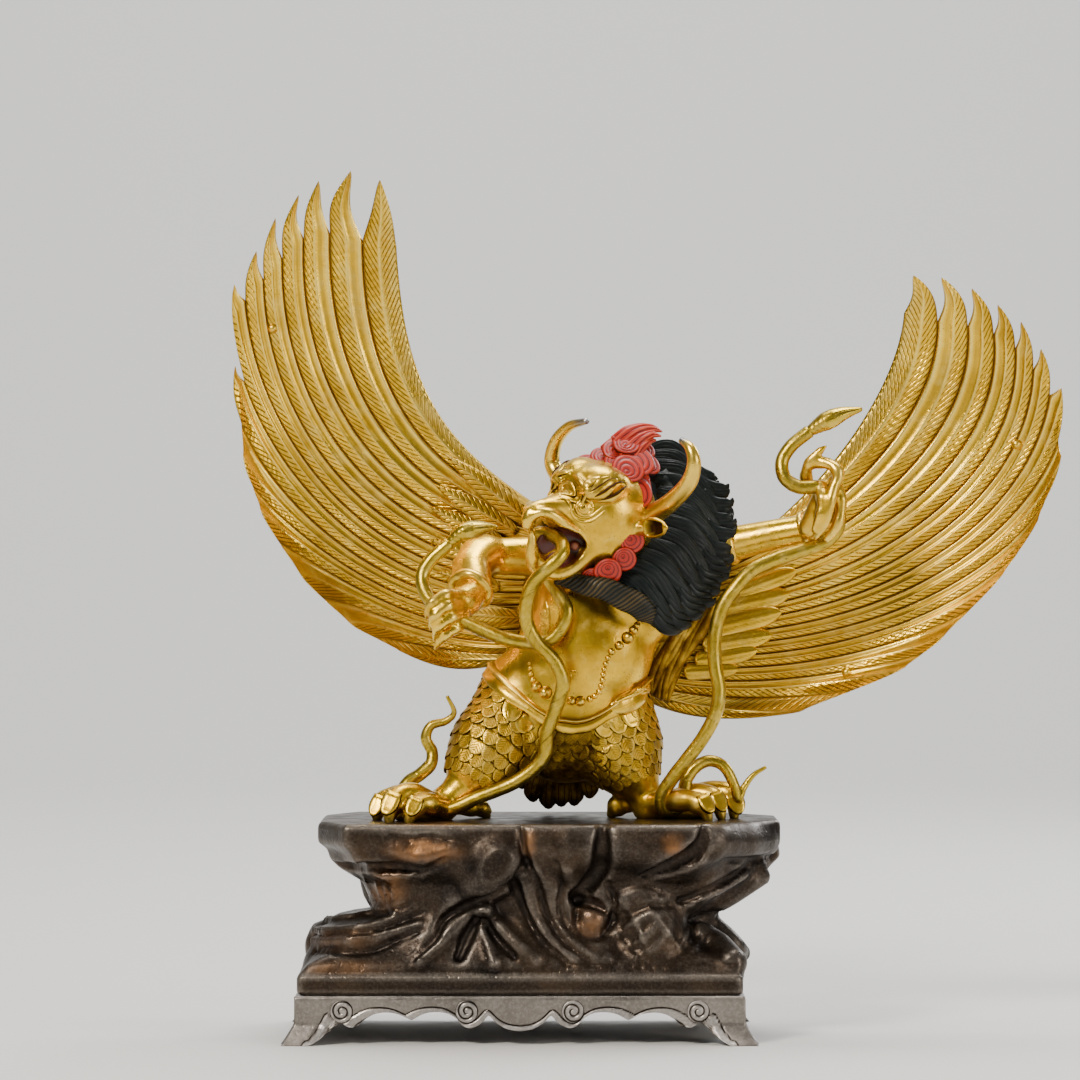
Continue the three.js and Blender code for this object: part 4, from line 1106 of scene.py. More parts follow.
def makeHead(clay):
    skin = addCurvature(claySkin(clay), 3.2)
    local = skin["verts"]
    # The beak's inside is painted.
    middles = local[skin["quads"]].mean(1)
    close = np.zeros(len(middles), bool)
    for points, girths in mouth:
        sizes = onList(girths[:5], np.linspace(0, 1, 24))
        for side in (1, -1):
            for centre, size in zip(alongCurve(mirrored(points[:5], side), 24), sizes):
                close |= np.linalg.norm((middles - centre) / mouthSquash, axis=1) < size + 0.35
    skin["slot"] = (close & (np.abs(middles[:, 0]) < 9.5)).astype(int)
    # Painted shade darkens the lower back of the head.
    skin["marks"]["grime"] = 0.8 * step(9, 19, local[:, 1]) * step(-5, -16, local[:, 2])
    skin["verts"] = toFigure(clay, local)
    tongue = loft(toFigure(clay, [[0, -20, -8], [0, -28, -9], [0, -36, -8], [0, -42, -5]]), [5, 7.5, 6.5, 3], 24, 24,
                  across=clay["matrix"][:, 0], wide=0.34)
    tongue["slot"] = 1
    parts = [skin, tongue, hornPart(head["nearHorn"]), hornPart(head["farHorn"]), earPart(clay, 1), earPart(clay, -1)]
    makePiece("gilt_head", "garuda_figure", parts + faceParts(clay), ["body", "maroon"])


headClay = makeHeadClay()
makeHead(headClay)
print("head is modelled")


# Crest: red ringed curls round the face and flames on the head.

crest = {
    # Picture point and depth, then the radius.
    "curls": [((628, 469, -36), 8.8), ((636, 461, -31), 10.0), ((637, 493, -38), 8.6), ((602.5, 457, -24), 6.6),
              ((615, 450.5, -27), 7.0), ((626, 444, -28), 7.4), ((586, 463, -19), 6.2), ((574, 469, -15), 5.4),
              ((632, 541, -41), 6.6), ((624, 559, -41), 6.6), ((608, 571, -42), 7.4), ((592, 577, -39), 5.6),
              ((617, 462, -31), 7.0), ((642, 450, -20), 7.0), ((647, 464, -19), 7.4)],
    "farCurls": [((-22, 7, 20), 7.5), ((-27, -2, -6), 7.5), ((-21, -1, -20), 7.5), ((-12, 12, 29), 7.5),
                 ((-25, 4, 8), 6.5)],
    "thick": 4.6, "rings": 3.6, "offset": 0.42,
    "flames": [([(616, 443, -27), (628, 434.5, -25), (640, 429.5, -22), (652, 428.5, -18), (662, 431.5, -14)],
                [4.2, 4.4, 3.2, 2.2, 0.5]),
               ([(628, 448, -28), (640, 439, -25), (651, 434.5, -21), (661, 436, -17)], [4.3, 3.3, 2.2, 0.5]),
               ([(632, 455, -29), (641, 446, -26), (649, 441, -22), (656, 440, -19)], [4.0, 3.0, 2.0, 0.5]),
               ([(606, 452, -22), (618, 443, -18), (632, 434.5, -14), (648, 432, -9)], [4.2, 4.2, 3.0, 0.6])],
    "beds": [([(580, 470, -8), (600, 468, -13), (617, 466, -17), (634, 472, -19), (641, 492, -22),
        (640, 512, -24)],
              [4, 6, 7, 7, 6.5, 6])],
}


def curlTemplate(sides=36, rows=15):
    # A flat disc of ridges that close up toward one side, with radius 1 and height 0.45.
    reach, turn = np.meshgrid(np.linspace(0.02, 1, rows), turnsOf(sides), indexing="ij")
    phase = reach * crest["rings"] + 0.4
    lobe = 1 + 0.025 * np.cos(turn * 3)
    relief = np.abs(np.sin(phase * math.pi))
    z = 0.4 * np.sqrt(np.maximum(1 - (reach * 0.94)**2, 0.02)) + 0.09 * relief
    top = np.stack([np.cos(turn) * reach * lobe, np.sin(turn) * reach * lobe - crest["offset"] * (1 - reach), z], -1)
    floor = [0, 0, -0.3]
    rim = top[-1:] * [0.9, 0.9, 0] + floor
    mark = 1.35 * relief - 0.75 + 0.35 * bump(phase % 1, 0.5, 0.12) * step(0.1, 0.9, reach)
    return tubePart(np.vstack([top, rim]), [0, 0, z[0, 0]], floor,
                    relief=(np.vstack([mark, np.full(sides, -0.5)]), [0.3, -0.5]))


def flamePart(points, radii):
    def shape(u, turn):
        ridges = np.abs(np.sin(turn * 4 + u * 3))
        return 1 + 0.22 * (ridges - 0.6), 1.9 * ridges - 0.9 + 0.5 * step(0.3, 0.7, u) * ridges

    return loft(pictureDepth(points), radii, 44, 30, across=(0, 1, 0), wide=0.7, shape=shape)


def makeCrest():
    near, nearSizes = zip(*crest["curls"])
    far, farSizes = zip(*crest["farCurls"])
    centres = np.vstack([pictureDepth(near), toFigure(headClay, far)])
    sizes = np.array(nearSizes + farSizes)
    # Each curl faces outward from the head; the near ones turn to the viewer too.
    out = centres - np.array(head["centre"])
    toward = np.where(np.arange(len(centres)) < len(near), 1.1, 0.0)
    up = unitRows(unitRows(out) + np.array([0.0, -1.0, 0.1]) * toward[:, None])
    scale = np.stack([sizes, sizes, np.full(len(sizes), crest["thick"])], 1)
    parts = [setCopies(curlTemplate(), centres, up, out * [1, 0.2, 1], scale, "red")]
    parts += [flamePart(points, radii) for points, radii in crest["flames"]]
    parts += [loft(pictureDepth(points), radii, 20, 24, wide=0.7) for points, radii in crest["beds"]]
    makePiece("red_crest", "garuda_figure", parts, ["red"])


makeCrest()
print("crest is modelled")


# Mane: overlapping locks of wavy strands that flow back and down, each tip hooked outward.

mane = {"strandGap": 1.8, "sides": 84, "rows": 31, "flat": 0.3, "ridge": 0.85}

# Each lock as picture points with a depth, then its half widths.
maneLocks = [
    ([(650, 453, 4), (668, 453, 5), (684, 466, 6), (698, 479, 6), (712, 484, 5), (716.5, 482.6, 5)],
     [5, 7, 7, 5, 3.4, 1.2]),
    ([(648, 462, 0), (672, 465, 2), (690, 479, 3), (706, 492, 3), (720, 494, 2), (725.0, 490.9, 2)],
     [6, 8, 8, 6, 3.4, 1.2]),
    ([(650, 472, -3), (676, 478, -1), (698, 495, 0), (712, 509, 0), (726, 509, -1), (730.0, 504.9, -1)],
     [7, 9, 8.5, 6.5, 3.4, 1.2]),
    ([(652, 486, -6), (680, 494, -4), (700, 511, -3), (714, 524, -2), (728, 524, -3), (732.0, 520.4, -3)],
     [8, 9.5, 8.5, 6.5, 3.4, 1.2]),
    ([(656, 500, -9), (684, 508, -7), (702, 525, -5), (714, 538, -5), (727, 539, -5), (730.6, 535.4, -5)],
     [8, 9.5, 8.5, 6.5, 3.4, 1.2]),
    ([(660, 514, -12), (686, 523, -10), (702, 540, -8), (713, 553, -8), (726, 554, -7), (729.1, 551.3, -7)],
     [8, 9.5, 8.5, 6.5, 3.4, 1.2]),
    ([(658, 526, -15), (682, 536, -13), (698, 554, -11), (709, 568, -10), (722, 570, -9),
     (725.6, 567.8, -9)], [8, 9.5, 8.5, 6.5, 3.4, 1.2]),
    ([(650, 538, -19), (676, 549, -17), (691, 568, -15), (702, 582, -14), (715, 585, -12),
     (719.0, 582.8, -12)], [8, 9.5, 8.5, 6.5, 3.4, 1.2]),
    ([(644, 550, -23), (668, 561, -21), (683, 580, -19), (694, 595, -17), (707, 597, -14),
     (711.0, 594.8, -13)], [8, 9.5, 8.5, 6.5, 3.4, 1.2]),
    ([(636, 560, -28), (659, 571, -26), (674, 591, -23), (685, 606, -21), (698, 609, -17),
     (702.5, 606.8, -15)], [8, 9, 8, 6.5, 3.4, 1.2]),
    ([(622, 568, -32), (646, 580, -31), (662, 600, -28), (673, 616, -25), (686, 619, -20),
     (691.0, 617.2, -17)], [7, 8.5, 8, 6.5, 3.4, 1.2]),
    ([(616, 580, -33), (633, 588, -34), (650, 604, -33), (662, 620, -29), (674, 625, -23),
     (679.4, 623.2, -19)], [5.5, 7.5, 7.5, 6, 3.4, 1.2]),
]
collar = ([(556, 578, -36), (580, 584, -41), (606, 590, -42), (628, 600, -40), (646, 612, -36),
    (657, 625, -30)],
          [3.0, 5.0, 6.0, 6.5, 6.0, 1.2])
maneBeds = [
    ([[54, -2, 176], [74, 7, 171], [90, 13, 160], [99, 15, 148]], [10, 12, 11, 4]),
    ([[56, -4, 165], [78, 5, 156], [92, 10, 144], [101, 13, 130]], [15, 15, 12, 3]),
    ([[56, -10, 150], [74, -1, 140], [88, 6, 127], [95, 9, 113]], [14, 14, 11, 3]),
    ([[52, -13, 136], [64, -8, 124], [76, -3, 112], [84, 2, 102]], [11, 11, 9, 3]),
    ([[50, 6, 174], [58, 18, 154], [64, 26, 128], [67, 27, 98]], [15, 19, 16, 1]),
    ([[30, 6, 164], [30, 16, 144], [32, 25, 120], [34, 26, 96]], [14, 17, 14, 1]),
    ([[42, 8, 170], [46, 21, 148], [50, 29, 122], [52, 29, 92]], [14, 16, 14, 1]),
    ([[68, -2, 174], [84, 10, 162], [95, 17, 144], [99, 18, 118]], [11, 15, 13, 1]),
]


def strandLoft(points, radii, sides, rows, seed, wide, slant=0.0):
    # Rounded strands with sharp gaps run along the lock; `slant` turns them across it.
    length = runOf(alongCurve(points, 60))[-1]
    count = 2 * int(round(2.0 * max(radii) / mane["strandGap"] / (1 + 0.12 * slant)))

    def shape(u, turn):
        sway = 0.32 * np.sin(u * 5.5 + seed) + 0.12 * np.sin(u * 13 + seed * 3)
        phase = turn + sway + slant * u * length / max(radii) / 3
        ridges = np.abs(np.sin(phase * count / 2))**0.55
        clump = np.cos(phase * round(count / 6) + seed)
        girth = np.maximum(onList(radii, u), 1.5)
        thin = girth * np.sqrt(np.cos(turn)**2 * wide**2 + np.sin(turn)**2)
        cut = ((ridges - 0.8) * mane["ridge"] + 0.3 * clump) * step(1.0, 0.8, u)
        return 1 + cut / thin, 1.5 * ridges - 0.85 + 0.12 * clump

    return loft(points, radii, sides, rows, across=(0.1, 1, 0.1), wide=wide, shape=shape)


def wispShape(u, turn):
    ridges = np.abs(np.sin(turn * 4))
    return 1 + 0.16 * ridges, 1.5 * ridges - 0.85


def makeMane():
    parts = [strandLoft(pictureDepth(pixels), radii, mane["sides"], mane["rows"], number * 1.9, mane["flat"])
             for number, (pixels, radii) in enumerate(maneLocks)]
    # Fine wisps carry each lock on to the outline.
    for number, (pixels, _) in enumerate(maneLocks):
        line = onCurve(pixels, np.linspace(0.45, 1, 5))
        for turn in (-1, 0, 1):
            wave = 1.6 * math.sin(number * 2.3 + turn * 1.7)
            shift = [[0, turn * 7, -1.5], [1, turn * 7, -1.5], [2, turn * 6.5, -1], [3 + wave, turn * 5.5, 0],
                     [2 + 2 * wave, turn * 5 - 2, 0]]
            parts.append(loft(pictureDepth(line + shift), [2.6, 3.0, 2.8, 2.0, 0.4], 20, 16, across=(0.1, 1, 0.1),
                              wide=0.55, shape=wispShape))
    band = strandLoft(pictureDepth(collar[0]), collar[1], 72, 128, 3.0, 0.42, 6.5)
    band["marks"]["gold"] = step(0.3, 0.8, band["marks"]["relief"]) * 0.3
    parts.append(band)
    for number, (points, radii) in enumerate(maneBeds):
        parts.append(strandLoft(points, radii, 64, 20, 20 + number * 1.9, 0.85))
    makePiece("black_mane", "garuda_figure", parts, ["black"])


makeMane()
print("mane is modelled")


# Trim of the body: thigh scales, belt, beads, chest plaque and tail.

scales = {
    "left": [[8, 2, 76], [0, 0, 60], [-8, -4, 46], [-15, -9, 35], [-21, -12, 26], [-25, -14, 20]],
    "right": [[40, 4, 76], [43, 4, 60], [47, 3, 46], [52, 1, 35], [57, 0, 26], [60, -1, 20]],
    "around": 17, "gap": 4.8, "wide": 9.7, "long": 8.8, "reach": 29.0,
    "petals": [(512, 711), (524, 722), (604.5, 726), (630, 716), (618, 722)],
    "backPetals": [150, 120, 90, 60, 30],
}
beads = {
    # Picture points, then the radius in millimetres.
    "studs": [((643.5, 612.6), 0.9), ((639.6, 619.7), 1.2), ((636.8, 624.5), 1.4), ((633.3, 630.3), 2.0),
              ((627.2, 637.9), 2.6), ((619.1, 645.6), 1.9), ((611.5, 651.7), 1.5), ((608, 658), 1.2),
              ((605.7, 663.8), 1.2), ((604.2, 669), 1.2), ((603.2, 674.3), 1.2), ((602.6, 680), 1.2),
              ((601.1, 685.8), 1.3), ((599.2, 691.6), 1.3), ((594.6, 696), 1.3), ((589.8, 698.9), 1.4),
              ((580.2, 701.2), 2.2), ((571.6, 700.8), 1.9), ((529.8, 663.8), 0.8), ((530.4, 668.6), 1.0),
              ((531.3, 674.3), 1.2), ((533.3, 680), 1.4), ((536.7, 686.8), 2.3), ((545.7, 692.5), 2.7)],
}
belt = {"centre": (24, 2), "reach": (39, 31), "rise": 77.6, "drop": 29.0, "lean": 8.0, "tall": 3.9, "thick": 2.1,
        "columns": 260}
tail = {"root": (24, 15, 54), "ends": [(0.9, 14), (6.6, 7.2), (14.6, 3.4), (21.4, 4.6), (28.2, 5),
    (36.2, 9), (42, 16)]}


def castRays(clay, starts, ways, far, outward=True):
    # Where rays leave the clay, or meet it when they come from far away.
    run = np.arange(0, far, 0.3)
    solid = sampleClay(clay, starts[:, None, :] + ways[:, None, :] * run[None, :, None]) < 0
    run = run[(~solid).argmax(1) if outward else len(run) - 1 - solid[:, ::-1].argmax(1)]
    return starts + ways * run[:, None], run


def beltHeight(points):
    x, y = ((points[:, :2] - belt["centre"]) / belt["reach"]).T
    turn = np.arctan2(y, x)
    return belt["rise"] - belt["drop"] * np.maximum(0, -np.sin(turn))**1.85 - belt["lean"] * np.maximum(0, np.cos(turn))


def legScales(clay, axis):
    shares = evenShares(axis, int(62 / scales["gap"]))
    seats, ahead = [], []
    for row, (centre, along, side, up) in enumerate(zip(*curveFrames(axis, shares, (0, 1, 0)))):
        turn = (np.arange(scales["around"]) + 0.5 * (row % 2))[:, None] / scales["around"] * 2 * math.pi
        ways = side * np.cos(turn) + up * np.sin(turn)
        points, run = castRays(clay, centre + 0 * ways, ways, 40)
        keep = (run < scales["reach"]) & (run > 6) & (points[:, 2] < beltHeight(points) - 1.5) & (points[:, 2] > 16)
        seats.append(points[keep])
        ahead.append(-along + 0 * points[keep])
    return np.vstack(seats), np.vstack(ahead)


def layScales(clay, seats, ahead, sizes, plain=False, sink=0.25):
    normals = clayNormals(clay, seats)
    return setCopies(scaleTemplate(plain), seats - normals * sink, normals, ahead, sizes + 0 * seats, "body")


def makeScales(clay):
    parts = []
    for name in ("left", "right"):
        seats, ahead = legScales(clay, scales[name])
        number = np.arange(len(seats))[:, None]
        ahead = unitRows(ahead + np.cross(clayNormals(clay, seats), ahead) * (0.06 * np.sin(number * 2.4)))
        grow = [scales["wide"], scales["long"], 0] * (1 + 0.05 * np.sin(number * 1.7)) + [0, 0, 0.95]
        part = layScales(clay, seats, ahead, grow * (1 - step(34, 22, seats[:, 2:]) * [0.22, 0.22, 0]))
        x, y, _ = part["verts"].T
        # Painted shade darkens the scales toward the back and between the legs.
        paintedShade = 0.36 + step(4, 16, y) * 0.7 + 0.5 * step(16, 8, np.abs(x - belt["centre"][0]))
        part["marks"]["grime"] = np.maximum(part["marks"]["grime"], np.clip(paintedShade, 0, 0.9))
        parts.append(part)
    # Between the legs they lie in the dark, so they are painted dark as shade.
    spots = [(544 + 13.4 * (c + 0.5 * (r % 2)), 738 + 8.6 * r) for r in range(5) for c in range(5)]
    dark = layScales(clay, seatPixels(clay, spots), [0, 0.2, 1], [scales["wide"] * 0.9, scales["long"], 0.95])
    dark["marks"]["relief"] = dark["marks"]["relief"] * 0.5 - 0.35
    parts.append(setGrimeAndShade(dark, 1.0))
    turn = np.radians(scales["backPetals"])[:, None]
    ways = np.cos(turn) * [1, 0, 0] + np.sin(turn) * [0, 1, 0]
    behind, _ = castRays(clay, 0 * ways + [*belt["centre"], 62], ways, 60, False)
    seats = np.vstack([seatPixels(clay, scales["petals"]), behind])
    ahead = np.sign(belt["centre"][0] - seats[:, :1]) * [0.25, 0, 0] + [0, 0, 1]
    parts.append(layScales(clay, seats, ahead, [12.0, 13.5, 1.25], True, 0))
    return parts


# A stud: a plain dome with a foot darkened by painted shade and a top lit by a painted highlight, as reach, height and
# relief.
studProfile = [(1.3, -0.3, -1.0), (1.12, 0.0, -1.0), (1.06, 0.4, -0.3), (0.94, 0.75, 0.1), (0.72, 1.05, 0.3),
               (0.45, 1.25, 0.4), (0.2, 1.34, 0.5)]


def beadTemplate(sides=14):
    reach, height, relief = np.array(studProfile).T[..., None]
    turn = turnsOf(sides)
    rings = np.stack([np.cos(turn) * reach, np.sin(turn) * reach, height + 0 * turn], -1)
    return tubePart(rings, [0, 0, -0.35], [0, 0, 1.36], relief=(relief, [0, 0.7]))


def makeBeads(clay):
    places, sizes = zip(*beads["studs"])
    # The garland goes on round the back of the waist, in smaller studs.
    turn = np.radians(8 + 8 * np.arange(22))[:, None]
    ways = np.cos(turn) * [1, 0, 0] + np.sin(turn) * [0, 1, 0]
    behind, _ = castRays(clay, [33.0, 0.0, 88] - 3 * np.sin(turn) * [0, 0, 1], ways, 60, False)
    seats = np.vstack([seatPixels(clay, places), behind])
    sizes = [size * 1.15 for size in sizes] + [1.3] * len(behind)
    return setCopies(beadTemplate(), seats, clayNormals(clay, seats), [0.1, 0.2, 1.0], sizes, "body")


# The belt's section from its foot round to its back: height, reach and relief.
# Its relief lays a painted highlight on the upper rim and painted shade in the groove and at the foot.
beltProfile = [(-1.0, 0.2, -0.5), (-0.96, 0.8, 0.5), (-0.8, 1.05, 0.3), (-0.2, 1.0, 0.0), (0.3, 0.85, 0.0),
               (0.42, 0.5, -0.8), (0.52, 0.6, -0.4), (0.62, 1.3, 0.3), (0.78, 1.6, 0.9), (0.94, 1.35, 0.5),
               (1.02, 0.4, 0.0), (1.0, -0.8, 0.0), (-1.0, -0.8, -0.5)]


def makeBelt(clay):
    # A band round the hips that dips in front, with a raised upper rim brightened by a painted highlight.
    turn = turnsOf(belt["columns"])
    oval = np.stack([np.cos(turn), np.sin(turn), 0 * turn], 1) * [*belt["reach"], 0]
    middle = np.array([*belt["centre"], 0])
    ways = unitRows(oval)
    start = middle + beltHeight(unitRows(oval) * [*belt["reach"], 0] + middle)[:, None] * [0, 0, 1]
    runs = np.array([castRays(clay, start + [0, 0, rise * belt["tall"]], ways, 62, False)[1] for rise in (-0.8, 0.9)])
    for _ in range(10):
        runs = np.maximum(runs, (np.roll(runs, 1, 1) + np.roll(runs, -1, 1)) / 2)
        runs = (runs * 2 + np.roll(runs, 1, 1) + np.roll(runs, -1, 1)) / 4
    height, out, relief = np.array(beltProfile).T[..., None]
    reach = mix(runs[0], runs[1], (height + 0.8) / 1.7) + out * belt["thick"]
    lift = height * belt["tall"] + 0.35 * np.sin(turn * 17) * (height < -0.7)
    rings = start + ways * reach[..., None] + lift[..., None] * [0, 0, 1]
    return wheelPart(rings, np.repeat(relief, belt["columns"]))


def ribbonOn(clay, pixels, girths, flat=1.0, sink=0.0, lines=0, rows=30, sides=24):
    seats, normals = seatLine(clay, pixels, sink)

    def shape(u, turn):
        ridges = np.abs(np.sin(turn * lines)) if lines else 0.6
        return 1 + 0.08 * (ridges - 0.5) * (lines > 0), 0.9 * ridges - 0.3

    across = np.cross(unit(normals.mean(0)), seats[1] - seats[0])
    return loft(seats, girths, sides, rows, across=across, deep=flat, shape=shape)


def tailShape(u, turn):
    ridges = np.abs(np.sin(turn * 5))
    return 1 + 0.12 * ridges, 1.4 * ridges - 0.9


def makeTail():
    parts = []
    root = np.array(tail["root"], float)
    for number, (x, z) in enumerate(tail["ends"]):
        aside = x - root[0]
        depth = 31 - abs(aside) * 0.12 - (number % 2) * 1.6
        points = [root + [aside * 0.3, 0, 0], [root[0] + aside * 0.55, 22, 36], [root[0] + aside * 0.85, 28, 22],
                  [x, depth, z + 4], [x, depth + 0.5, z]]
        quill = loft(points, [4.5, 5, 5, 4.8, 1.6], 40, 44, across=(1, 0, 0), deep=0.42, shape=tailShape)
        # The quills are painted dark all over, as shade between the legs.
        parts.append(setGrimeAndShade(quill, 1.0))
    return parts


ribbons = [
    # The belt's folded end on the right hip, with its curl.
    ([(611, 709), (620, 706), (630, 701), (639, 695), (643, 690)], [3.2, 5.6, 6.0, 5.0, 2.6], 0.5, -0.6, 2),
    ([(613, 702), (619, 698.5), (628, 694), (637, 689), (643, 686.5)], [1.0, 1.3, 1.4, 1.3, 1.0], 1.0, -2.4),
    (ringLine(638, 689.5, 4.2, 1.4, 2.4, 0.6), [1.0, 1.1, 0.8], 1.0, -2.6, 0, 46),
    # The chest plaque with its two whorls, and the whorl on the belly.
    ([(545.5, 601), (545.5, 609), (545.5, 619), (545.5, 628), (545.5, 636)], [0.6, 3.2, 3.5, 3.2, 0.8], 0.3, -0.2),
    (ringLine(545.3, 613.5, 4.4, 1.8, 0.6, 0.8), [0.7, 0.75, 0.5], 1.0, -0.9, 0, 60, 12),
    (ringLine(545.3, 625, 4.2, 1.8, 0.6, 0.8), [0.7, 0.75, 0.5], 1.0, -0.9, 0, 60, 12),
    (ringLine(574.5, 674.3, 4.5, 1.3, 1.0, 0.6), [0.6, 0.8, 0.5], 1.0, 0.35, 0, 44, 12),
]


def makeTrim(clay):
    parts = makeScales(clay) + [makeBeads(clay), makeBelt(clay)] + makeTail()
    parts += [ribbonOn(clay, *ribbon) for ribbon in ribbons]
    makePiece("body_trim", "garuda_figure", parts, ["body"])


makeTrim(bodyClay)
print("scales, belt and beads are set")


# Wings: each feather is its own closed blade between two border lines of the fan.

# `across` holds the columns of a feather's front, from one border at -1 to the other at 1.
feather = {"count": 13, "valley": 2.4, "ridge": 4.2, "barbGap": 4.0, "slant": 1.8, "rows": 250, "middle": 7 / 12,
           "across": [-1.02, -0.92, -0.82, -0.7, -0.5, -0.28, -0.1, 0.0, 0.1, 0.28, 0.5, 0.74, 0.93, 1.02],
           "back": [11, 7, 2]}

wings = {
    "left": {
        "root": [[11, 158], [1, 82.5]],
        "bends": [[[-55.5, 192.9], [-79.2, 233.9]], [[-68.6, 106.7], [-142.2, 176]], [[-26.6, 80.4],
            [-47.6, 81.4]]],
        "tips": [[-73.4, 332.7], [-88.6, 337.4], [-105.4, 332.1], [-115.9, 324.8], [-128, 312.7],
                 [-138, 295.3], [-149.6, 278], [-149.1, 235.4], [-144.9, 189.2], [-135.9, 160.3],
                 [-115.9, 127.7], [-89.7, 101.4], [-63.4, 86.7]],
        "splits": ([0, 1, 2, 3, 4, 5, 6, 6.5, 7, 8, 9, 10],
                   [0.88, 0.88, 0.915, 0.91, 0.905, 0.93, 0.94, 0.86, 0.94, 0.97, 0.98, 0.985]),
        "bows": [-1.2, 3.4, 1.6, 2.4, 1.6, 1.2, 1.4, 1.2, 0.4, 0, 0, 0, 0],
        "tenon": [[6, 29, 122], [16, 26, 120], [28, 18, 118]],
        "knobs": [(273, 330)],
        "coverts": [((530, 520), (444, 455), 11.5), ((516, 533), (434, 484), 11), ((502, 545),
            (428, 508), 10.5),
                    ((497, 565), (428, 540), 10.5), ((500, 590), (436, 574), 10), ((520, 618), (452, 612), 10)],
        "soilAndShade": (0.42, 0.42, 0.05),
    },
    "right": {
        "root": [[97, 127], [57, 68]],
        "bends": [[[167.9, 157.6], [228.3, 236.5]], [[173.1, 86.7], [262.5, 128.7]], [[89, 55.1], [120.6, 53]]],
        "tips": [[205.2, 282.7], [219.9, 281.7], [235.7, 275.9], [249.3, 267.5], [261.4, 258.6],
                 [271.9, 244.4], [282.5, 223.9], [282.5, 188.7], [270.4, 155], [252, 126.6],
                 [221, 94], [200.5, 77.7], [146.9, 55.1]],
        "splits": ([0, 1, 2, 3, 4, 5, 6, 7, 8, 9, 10],
                   [0.85, 0.87, 0.9, 0.92, 0.925, 0.93, 0.95, 0.95, 0.97, 0.98, 0.985]),
        "bows": [1.6, 2.2, 1.8, 1.4, 1.2, 1.0, 0.6, 0.4, 0, 0, 0, 0, 0],
        "tenon": [[76, 29, 96], [66, 25, 98], [55, 17, 102]],
        "knobs": [(1015, 443), (845, 673)],
        "coverts": [((738, 592), (795, 569), 9), ((718, 611), (790, 591), 10.5), ((710, 628),
            (782, 612.5), 10.5),
                    ((702, 645), (771, 633), 10), ((694, 660), (756, 652), 9.5), ((684, 674), (739, 668), 8.5)],
        "soilAndShade": (0.8, 0.15, 0.05),
        "patch": [(702, 596, 25), (686, 622, 25), (668, 650, 25), (655, 674, 25), (650, 694, 25)],
    },
}


def tipAt(data, share):
    # Tips lie on a smooth line; beyond the first and last feather it runs straight on.
    tips = np.array(data["tips"], float)
    if 0 <= share <= 1:
        return onCurve(tips, [share])[0]
    inner, outer = (tips[1], tips[0]) if share < 0 else (tips[-2], tips[-1])
    beyond = -share if share < 0 else (share - 1) * 0.05
    return outer + (outer - inner) * beyond * (len(tips) - 1)


def guideAt(data, at, t):
    # A feather's middle line in x and z; borders lie halfway between feathers.
    share = at / (feather["count"] - 1)
    m = feather["middle"]
    weights = [(share - m) * (share - 1) / m, share * (share - 1) / (m * (m - 1)), share * (share - m) / (1 - m)]
    bends = sum(w * np.array(b, float) for w, b in zip(weights, data["bends"]))
    root = mix(*np.array(data["root"], float), share)
    t = np.asarray(t, float)[:, None]
    return (root * (1 - t)**3 + 3 * bends[0] * t * (1 - t)**2 + 3 * bends[1] * t * t * (1 - t)
            + tipAt(data, share) * t**3)


def guideWay(data, at, t):
    along = unitRows(guideAt(data, at, np.asarray(t) + 1e-4) - guideAt(data, at, np.asarray(t) - 1e-4))
    return along, np.stack([-along[:, 1], along[:, 0]], 1)


def splitAt(data, at):
    # Where along its length a feather comes free of its neighbours.
    return float(np.interp(at, *data["splits"]))


def dot(a, b):
    return (a * b).sum(-1)


def featherGrid(data, number, share, s):
    # Points in x and z, and how far out each lies; s runs from 0 to 1 over the free part.
    split = splitAt(data, number)
    joined = share <= split
    alongJ, squareJ = guideWay(data, number, [split])
    centreJ, centre = guideAt(data, number, [split]), guideAt(data, number, share)
    alongS, squareS = guideWay(data, number, share)
    outer = guideAt(data, number + 0.5, [split]) - guideAt(data, number - 0.5, [split])
    bow = squareS * (np.sign(dot(outer, squareJ)) * data["bows"][number] * np.sin(math.pi * s)**1.4)[:, None]
    grid, depth = [], []
    for at in number + np.array(feather["across"]) / 2:
        ownSplit = splitAt(data, at)
        t = np.where(joined, share / split * ownSplit, share)
        off = guideAt(data, at, [ownSplit]) - centreJ
        free = (centre + alongS * (dot(off, alongJ) * (1 - s))[:, None]
                + squareS * (dot(off, squareJ) * np.power(1 - s, 0.75))[:, None] + bow)
        grid.append(np.where(joined[:, None], guideAt(data, at, np.where(joined, t, ownSplit)), free))
        depth.append(np.where(joined, t, mix(ownSplit, 1, s)))
    grid = np.stack(grid, 1)
    width = np.abs(dot(grid[:, -1] - grid[:, 0], squareS))[:, None]
    ahead = dot(grid - centre[:, None, :], alongS[:, None, :])
    return grid, np.stack(depth, 1), width, runOf(centre)[:, None] + ahead


